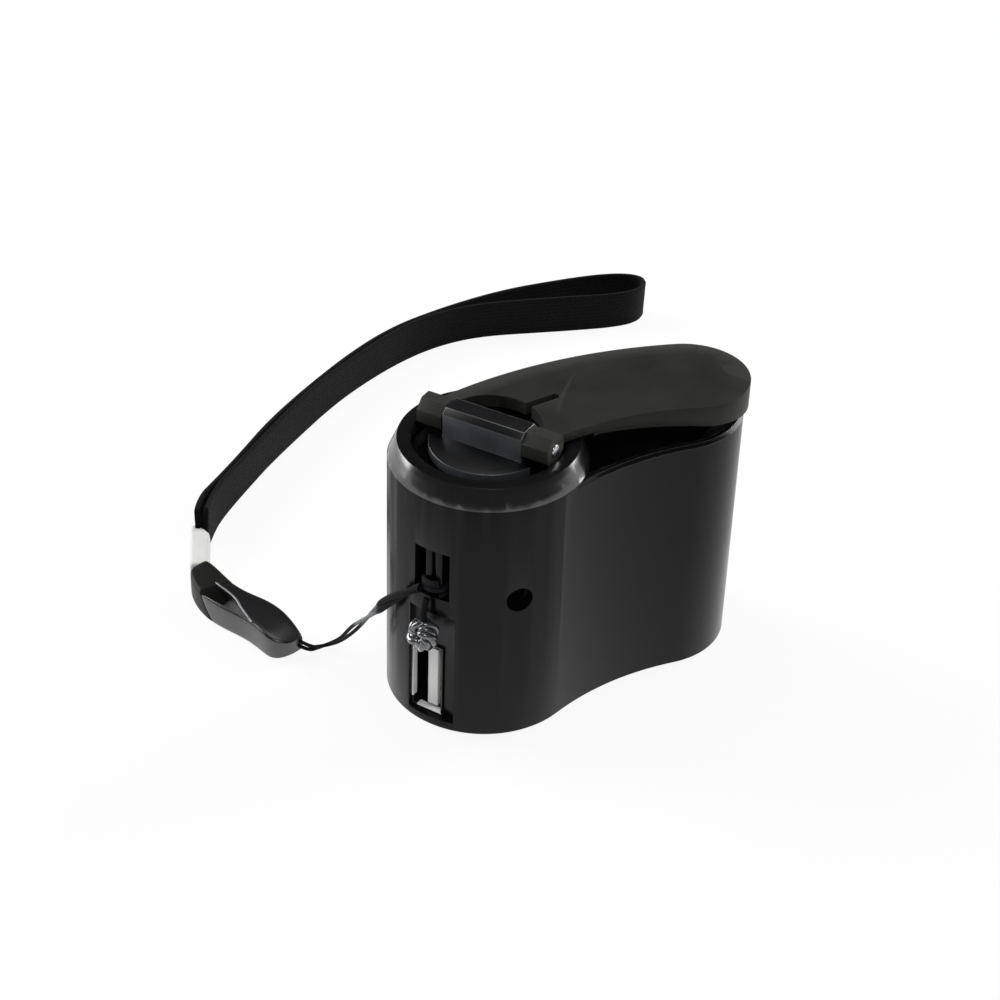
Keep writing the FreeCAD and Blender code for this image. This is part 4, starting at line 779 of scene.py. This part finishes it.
# Wrist strap: one woven tape, out and back on edge, gathered into the ferrule.
strapValues = {
    "route": [
        (-25.38, 51.39, 0), (-22.05, 56.15, 0), (-17.6, 60.6, 0), (-9.5, 66.6, 0), (-0.95, 73.05, 0),
        (11.2, 81.0, 0), (23.1, 87.3, 0), (35.3, 92.3, 0), (45.3, 94.0, 0), (54.3, 93.2, 0), (64.0, 89.8, 0),
        (73.0, 86.3, 0), (80.5, 83.5, 0), (85.8, 83.1, 0), (89.0, 85.6, 0), (88.2, 88.4, 0), (84.4, 90.9, 0),
        (78.4, 92.8, 0), (71.4, 94.1, 0), (63.0, 95.2, 0), (54.2, 95.4, 0), (45.2, 94.95, 0),
        (35.0, 93.25, 0), (22.65, 88.17, 0), (10.7, 81.85, 0), (-1.5, 73.85, 0), (-10.1, 67.35, 0),
        (-18.25, 61.3, 0), (-23.65, 57.35, 0), (-26.37, 51.86, 0),
    ],
    "width": 7.7,
    "thickness": 0.8,
    "gatherStart": 1.9,
    "gatherLength": 1.3,
    "gatherBottom": 0.6,
    "gatherTop": 3.9,
    "pleat": 0.3,
    "rows": 18,
    "edgeRow": 0.55,        # thickness at the selvedge, and in the row beside it
    "nextRow": 1.12,
    "wander": 0.1,
    "wanderAlong": 190.0,   # radians to the metre
    "wanderAcross": 2.2,    # radians over the width
}


def strapMesh(values):
    line = nurbsRoute("strapRoute", metres(values["route"]), resolution=22)
    lengths = lineLengths(line)
    total = lengths[-1]
    rows = values["rows"]
    rowThickness = [1.0] * (rows + 1)
    rowThickness[0] = rowThickness[rows] = values["edgeRow"]
    rowThickness[1] = rowThickness[rows - 1] = values["nextRow"]
    points, faces, shares = [], [], []
    for index, place in enumerate(line):
        before = line[max(index - 1, 0)]
        after = line[min(index + 1, len(line) - 1)]
        tangent = (after - before).normalized()
        side = Vector((tangent.y, -tangent.x, 0))
        nearest = min(lengths[index], total - lengths[index])
        opened = smoothStep((nearest / mm - values["gatherStart"]) / values["gatherLength"])
        low = values["gatherBottom"] * (1 - opened) * mm
        high = (values["gatherTop"] + (values["width"] - values["gatherTop"]) * opened) * mm
        ring = []
        for face in (1, -1):
            order = range(rows + 1) if face > 0 else range(rows, -1, -1)
            for row in order:
                across = row / rows
                pleat = values["pleat"] * (1 - opened) * math.sin(2 * math.pi * across) * mm
                phase = lengths[index] * values["wanderAlong"] + across * values["wanderAcross"]
                wave = values["wander"] * opened * math.sin(phase) * mm
                thick = face * values["thickness"] / 2 * rowThickness[row] * mm
                point = place + side * (thick + pleat + wave)
                point.z = low + (high - low) * across
                ring.append(len(points))
                points.append(point)
                shares.append((lengths[index], across * values["width"] * mm))
        if index:
            size = len(ring)
            for step in range(size):
                after = (step + 1) % size
                faces.append((last[step], ring[step], ring[after], last[after]))
        else:
            faces.append(tuple(ring))
        last = ring
    faces.append(tuple(reversed(last)))
    piece = newPiece("wristStrap", points, faces)
    layer = piece.data.uv_layers.new(name="weave")
    for loop in piece.data.loops:
        layer.data[loop.index].uv = shares[loop.vertex_index]
    faceOutwards(piece)
    smoothAt(piece, 45)
    return piece, total


strapPiece, strapLength = strapMesh(strapValues)
dress(strapPiece, "strap_webbing", "casing", "wrist_strap")
# The narrowest sheet that can be declared is 10 mm wide. The area is the tape's own.
print("strap made, length in mm", round(strapLength / mm, 1))


# Rigid pieces that show: the same forms with their edges eased.
# node: name, radius, segments, finish of the roundings
easedPieces = {
    "main_housing": ("casingShell", 0.3, 3, "casing_edge"),
    "crank_arm": ("crankArm", 0.34, 3, "crank_edge_highlight"),
    "crank_hub": ("crankHub", 0.22, 2, "hub_edge_highlight"),
    "hinge_pin": ("hingePin", 0.12, 2, "pin_steel"),
    "finger_knob": ("fingerKnob", 0.15, 2, "knob_plastic"),
    "base_cover": ("baseCover", 0.12, 2, "casing_edge"),
    "usb_shell": ("socketShell", 0.06, 2, "socket_shell"),
    "usb_tongue": ("socketTongue", 0.12, 2, "socket_tongue"),
}
easingValues = {
    "mergeWithin": 0.002,   # mm between points that become one
    "flatWithin": 0.4,      # degrees between faces that become one
    "sharpOver": 35.0,      # degrees from which an edge is rounded
    "smoothUnder": 40.0,
}


def softenedCopy(node, name, softness, segments, finish, edgeFinish):
    # The same form as the node, its sharp edges rounded. The roundings take the edge finish.
    piece = bpy.data.objects.new(name, nodes[node].data.copy())
    bpy.context.scene.collection.objects.link(piece)
    piece.data.materials.clear()
    piece.data.materials.append(finishes[finish])
    piece.data.materials.append(finishes[edgeFinish])
    pickOnly(piece)
    bpy.ops.object.mode_set(mode="EDIT")
    bpy.ops.mesh.select_all(action="SELECT")
    bpy.ops.mesh.remove_doubles(threshold=easingValues["mergeWithin"] * mm)
    bpy.ops.mesh.dissolve_limited(angle_limit=math.radians(easingValues["flatWithin"]))
    bpy.ops.object.mode_set(mode="OBJECT")
    applyModifier(piece, "BEVEL", width=softness * mm, segments=segments, limit_method="ANGLE",
                  angle_limit=math.radians(easingValues["sharpOver"]), miter_outer="MITER_ARC", material=1)
    smoothAt(piece, easingValues["smoothUnder"])
    return piece


nodeSlots = {part["node"]: part["material_slot"] for part in frame["record"]["subparts"]}
nodeBodies = {name: body for body, members in frame["record"]["behaviour"]["bodies"].items()
              for name in members}

for node, (name, softness, segments, edgeFinish) in easedPieces.items():
    piece = softenedCopy(node, name, softness, segments, nodeSlots[node], edgeFinish)
    rounded = sum(face.area for face in piece.data.polygons if face.material_index == 1) / mm ** 2
    print(name, "roundings in square mm", round(rounded, 1))
    dress(piece, nodeSlots[node], nodeBodies[node], node)

# Zones of the casing and the hub. The slopes are the upward share of a face's normal.
zoneValues = {
    "collarMiddle": 40.0,
    "collarSteepest": 0.15,
    "collarFlattest": 0.97,
    "rimFoot": 20.0,
    "rimReach": 17.0,       # beyond this distance from the crank's axis the rim is the wall's own
    "barrelFoot": 43.0,
    "barrelUpright": 0.5,
}


def zoneCasing(piece, values):
    # The collar's slanting face is polished as the edges are, and the wall's rim roundings are painted pale
    # grey: a painted highlight.
    piece.data.materials.append(finishes["casing_rim_highlight"])
    for face in piece.data.polygons:
        rounding = face.material_index == 1
        slanting = values["collarSteepest"] < face.normal.z < values["collarFlattest"]
        reach = math.hypot(face.center.x, face.center.y) / mm
        highest = max(piece.data.vertices[index].co.z for index in face.vertices) / mm
        if slanting and highest > values["collarMiddle"] and reach < values["rimReach"]:
            face.material_index = 1
        elif rounding and face.center.z / mm > values["rimFoot"] and reach > values["rimReach"]:
            face.material_index = 2
        elif rounding and highest > values["rimFoot"]:
            face.material_index = 0


def zoneHub(piece, values):
    # The barrel's upright flats are painted paler: a painted highlight.
    piece.data.materials.append(finishes["hub_flat_highlight"])
    for face in piece.data.polygons:
        upright = abs(face.normal.z) < values["barrelUpright"]
        if face.material_index == 0 and upright and face.center.z > values["barrelFoot"] * mm:
            face.material_index = 2


zoneCasing(bpy.data.objects["casingShell"], zoneValues)
zoneHub(bpy.data.objects["crankHub"], zoneValues)
print("eased pieces made:", len(easedPieces))


# The bar in the lanyard pocket: a flat bar with an upright groove, on the CAD bar's axis.
pocketBarValues = {
    "outer": 14.75,
    "inner": 12.7,
    "half": 1.5,
    "low": 24.9,
    "high": 34.2,
    "grooveHalf": 0.33,
    "grooveFloor": 27.2,
    "grooveDepth": 0.9,
    "edge": 0.28,
}


def makePocketBar(values):
    bpy.ops.object.select_all(action="DESELECT")
    bpy.ops.mesh.primitive_cube_add(size=1)
    bar = bpy.context.object
    bar.name = "pocketBar"
    bar.data.name = "pocketBar"
    bar.scale = Vector((values["outer"] - values["inner"], 2 * values["half"],
                        values["high"] - values["low"])) * mm
    bar.location = Vector(((values["outer"] + values["inner"]) / 2, 0,
                           (values["high"] + values["low"]) / 2)) * mm
    seat(bar)
    scoreMesh(bar, [
        (Vector((0, values["grooveHalf"], 0)) * mm, (0, 1, 0)),
        (Vector((0, -values["grooveHalf"], 0)) * mm, (0, 1, 0)),
        (Vector((0, 0, values["grooveFloor"])) * mm, (0, 0, 1)),
    ])
    for face in bar.data.polygons:
        face.select = (face.normal.x > 0.9 and abs(face.center.y) < values["grooveHalf"] * mm
                       and face.center.z > values["grooveFloor"] * mm)
    bpy.ops.object.mode_set(mode="EDIT")
    bpy.ops.mesh.extrude_region_move(TRANSFORM_OT_translate={"value": (-values["grooveDepth"] * mm, 0, 0)})
    bpy.ops.object.mode_set(mode="OBJECT")
    applyModifier(bar, "BEVEL", width=values["edge"] * mm, segments=3, limit_method="ANGLE",
                  angle_limit=math.radians(40))
    bar.rotation_euler = (0, 0, portAngle)
    seat(bar)
    smoothAt(bar, 40)
    return bar


pocketBar = makePocketBar(pocketBarValues)
dress(pocketBar, nodeSlots["lanyard_bar"], nodeBodies["lanyard_bar"], "lanyard_bar")

# The socket's mouth: the first stretch of the shell's far wall and floor, painted near white as a painted
# reflection.
mouthValues = {
    "start": 13.1,
    "wall": -3.75,
    "wallFoot": 3.5,
    "floor": 2.4,
    "floorSide": -3.1,
}


def brightenMouth(piece, values):
    outward = fromPort(1, 0, 0) / mm
    sideways = fromPort(0, 1, 0) / mm
    scoreMesh(piece, [
        (outward * values["start"] * mm, outward),
        ((0, 0, values["wallFoot"] * mm), (0, 0, 1)),
        (sideways * values["floorSide"] * mm, sideways),
    ])
    piece.data.materials.append(finishes["socket_mouth_highlight"])
    for face in piece.data.polygons:
        reached = face.center.dot(outward) > values["start"] * mm
        beside = face.center.dot(sideways) / mm
        height = face.center.z / mm
        onWall = beside < values["wall"] and height > values["wallFoot"]
        onFloor = height < values["floor"] and beside > values["floorSide"]
        if reached and (onWall or onFloor):
            face.material_index = len(piece.data.materials) - 1


brightenMouth(bpy.data.objects["socketShell"], mouthValues)

for name, node in nodes.items():
    node.data.materials.clear()
    node.data.materials.append(finishes[nodeSlots[name]])
print("nodes finished:", len(nodes))


# Floor, surround and lamps.
studioValues = {
    "floorSize": 60.0,
    "floorHeight": -0.00002,
    "floorColour": (0.92, 0.92, 0.92),
    "floorGlow": 0.9,       # how much of its own light the camera, mirrors and clear parts see
    "surround": 0.1,
    "lamps": [
        # name, place, width, height, power
        ("leftPanel", (-0.36, 0.55, 0.28), 0.42, 0.56, 5.4),
        ("rightPanel", (0.7, 0.0, 0.28), 0.36, 0.56, 5.0),
        ("frontPanel", (-0.27, -0.43, 0.78), 0.36, 0.26, 2.2),
        ("topPanel", (0.1, 0.3, 1.1), 0.7, 0.6, 2.9),
    ],
    "aim": (0.012, 0.01, 0.03),
}


def floorFinish(values):
    material, tree, surface = newMaterial("studioFloor")
    surface.inputs["Base Color"].default_value = (*values["floorColour"], 1)
    surface.inputs["Roughness"].default_value = 0.9
    surface.inputs["Specular IOR Level"].default_value = 0.0
    glow = addNode(tree, "ShaderNodeEmission", Strength=1.0)
    ray = addNode(tree, "ShaderNodeLightPath")
    seen = addNode(tree, "ShaderNodeMath", operation="MAXIMUM")
    tree.links.new(ray.outputs["Is Camera Ray"], seen.inputs[0])
    tree.links.new(ray.outputs["Is Glossy Ray"], seen.inputs[1])
    seenAll = addNode(tree, "ShaderNodeMath", operation="MAXIMUM")
    tree.links.new(seen.outputs["Value"], seenAll.inputs[0])
    tree.links.new(ray.outputs["Is Transmission Ray"], seenAll.inputs[1])
    share = addNode(tree, "ShaderNodeMath", operation="MULTIPLY")
    share.inputs[1].default_value = values["floorGlow"]
    tree.links.new(seenAll.outputs["Value"], share.inputs[0])
    blend = tree.nodes.new("ShaderNodeMixShader")
    tree.links.new(share.outputs["Value"], blend.inputs["Fac"])
    tree.links.new(surface.outputs["BSDF"], blend.inputs[1])
    tree.links.new(glow.outputs["Emission"], blend.inputs[2])
    tree.links.new(blend.outputs["Shader"], tree.nodes["Material Output"].inputs["Surface"])
    return material


def makeStudio(values):
    bpy.ops.mesh.primitive_plane_add(size=values["floorSize"])
    floor = bpy.context.object
    floor.name = "studioFloor"
    floor.location.z = values["floorHeight"]
    floor.data.materials.append(floorFinish(values))
    world = bpy.data.worlds.new("studioSurround")
    bpy.context.scene.world = world
    world.use_nodes = True
    tree = world.node_tree
    surround = tree.nodes["Background"]
    surround.inputs["Color"].default_value = (1, 1, 1, 1)
    surround.inputs["Strength"].default_value = values["surround"]
    aim = Vector(values["aim"])
    for name, place, width, height, power in values["lamps"]:
        lamp = bpy.data.lights.new(name, "AREA")
        lamp.shape = "RECTANGLE"
        lamp.size = width
        lamp.size_y = height
        lamp.energy = power
        holder = bpy.data.objects.new(name, lamp)
        holder.location = place
        holder.rotation_euler = (Vector(place) - aim).to_track_quat("Z", "Y").to_euler()
        bpy.context.scene.collection.objects.link(holder)
    bpy.context.scene.view_settings.view_transform = "Standard"


makeStudio(studioValues)
print("studio made")
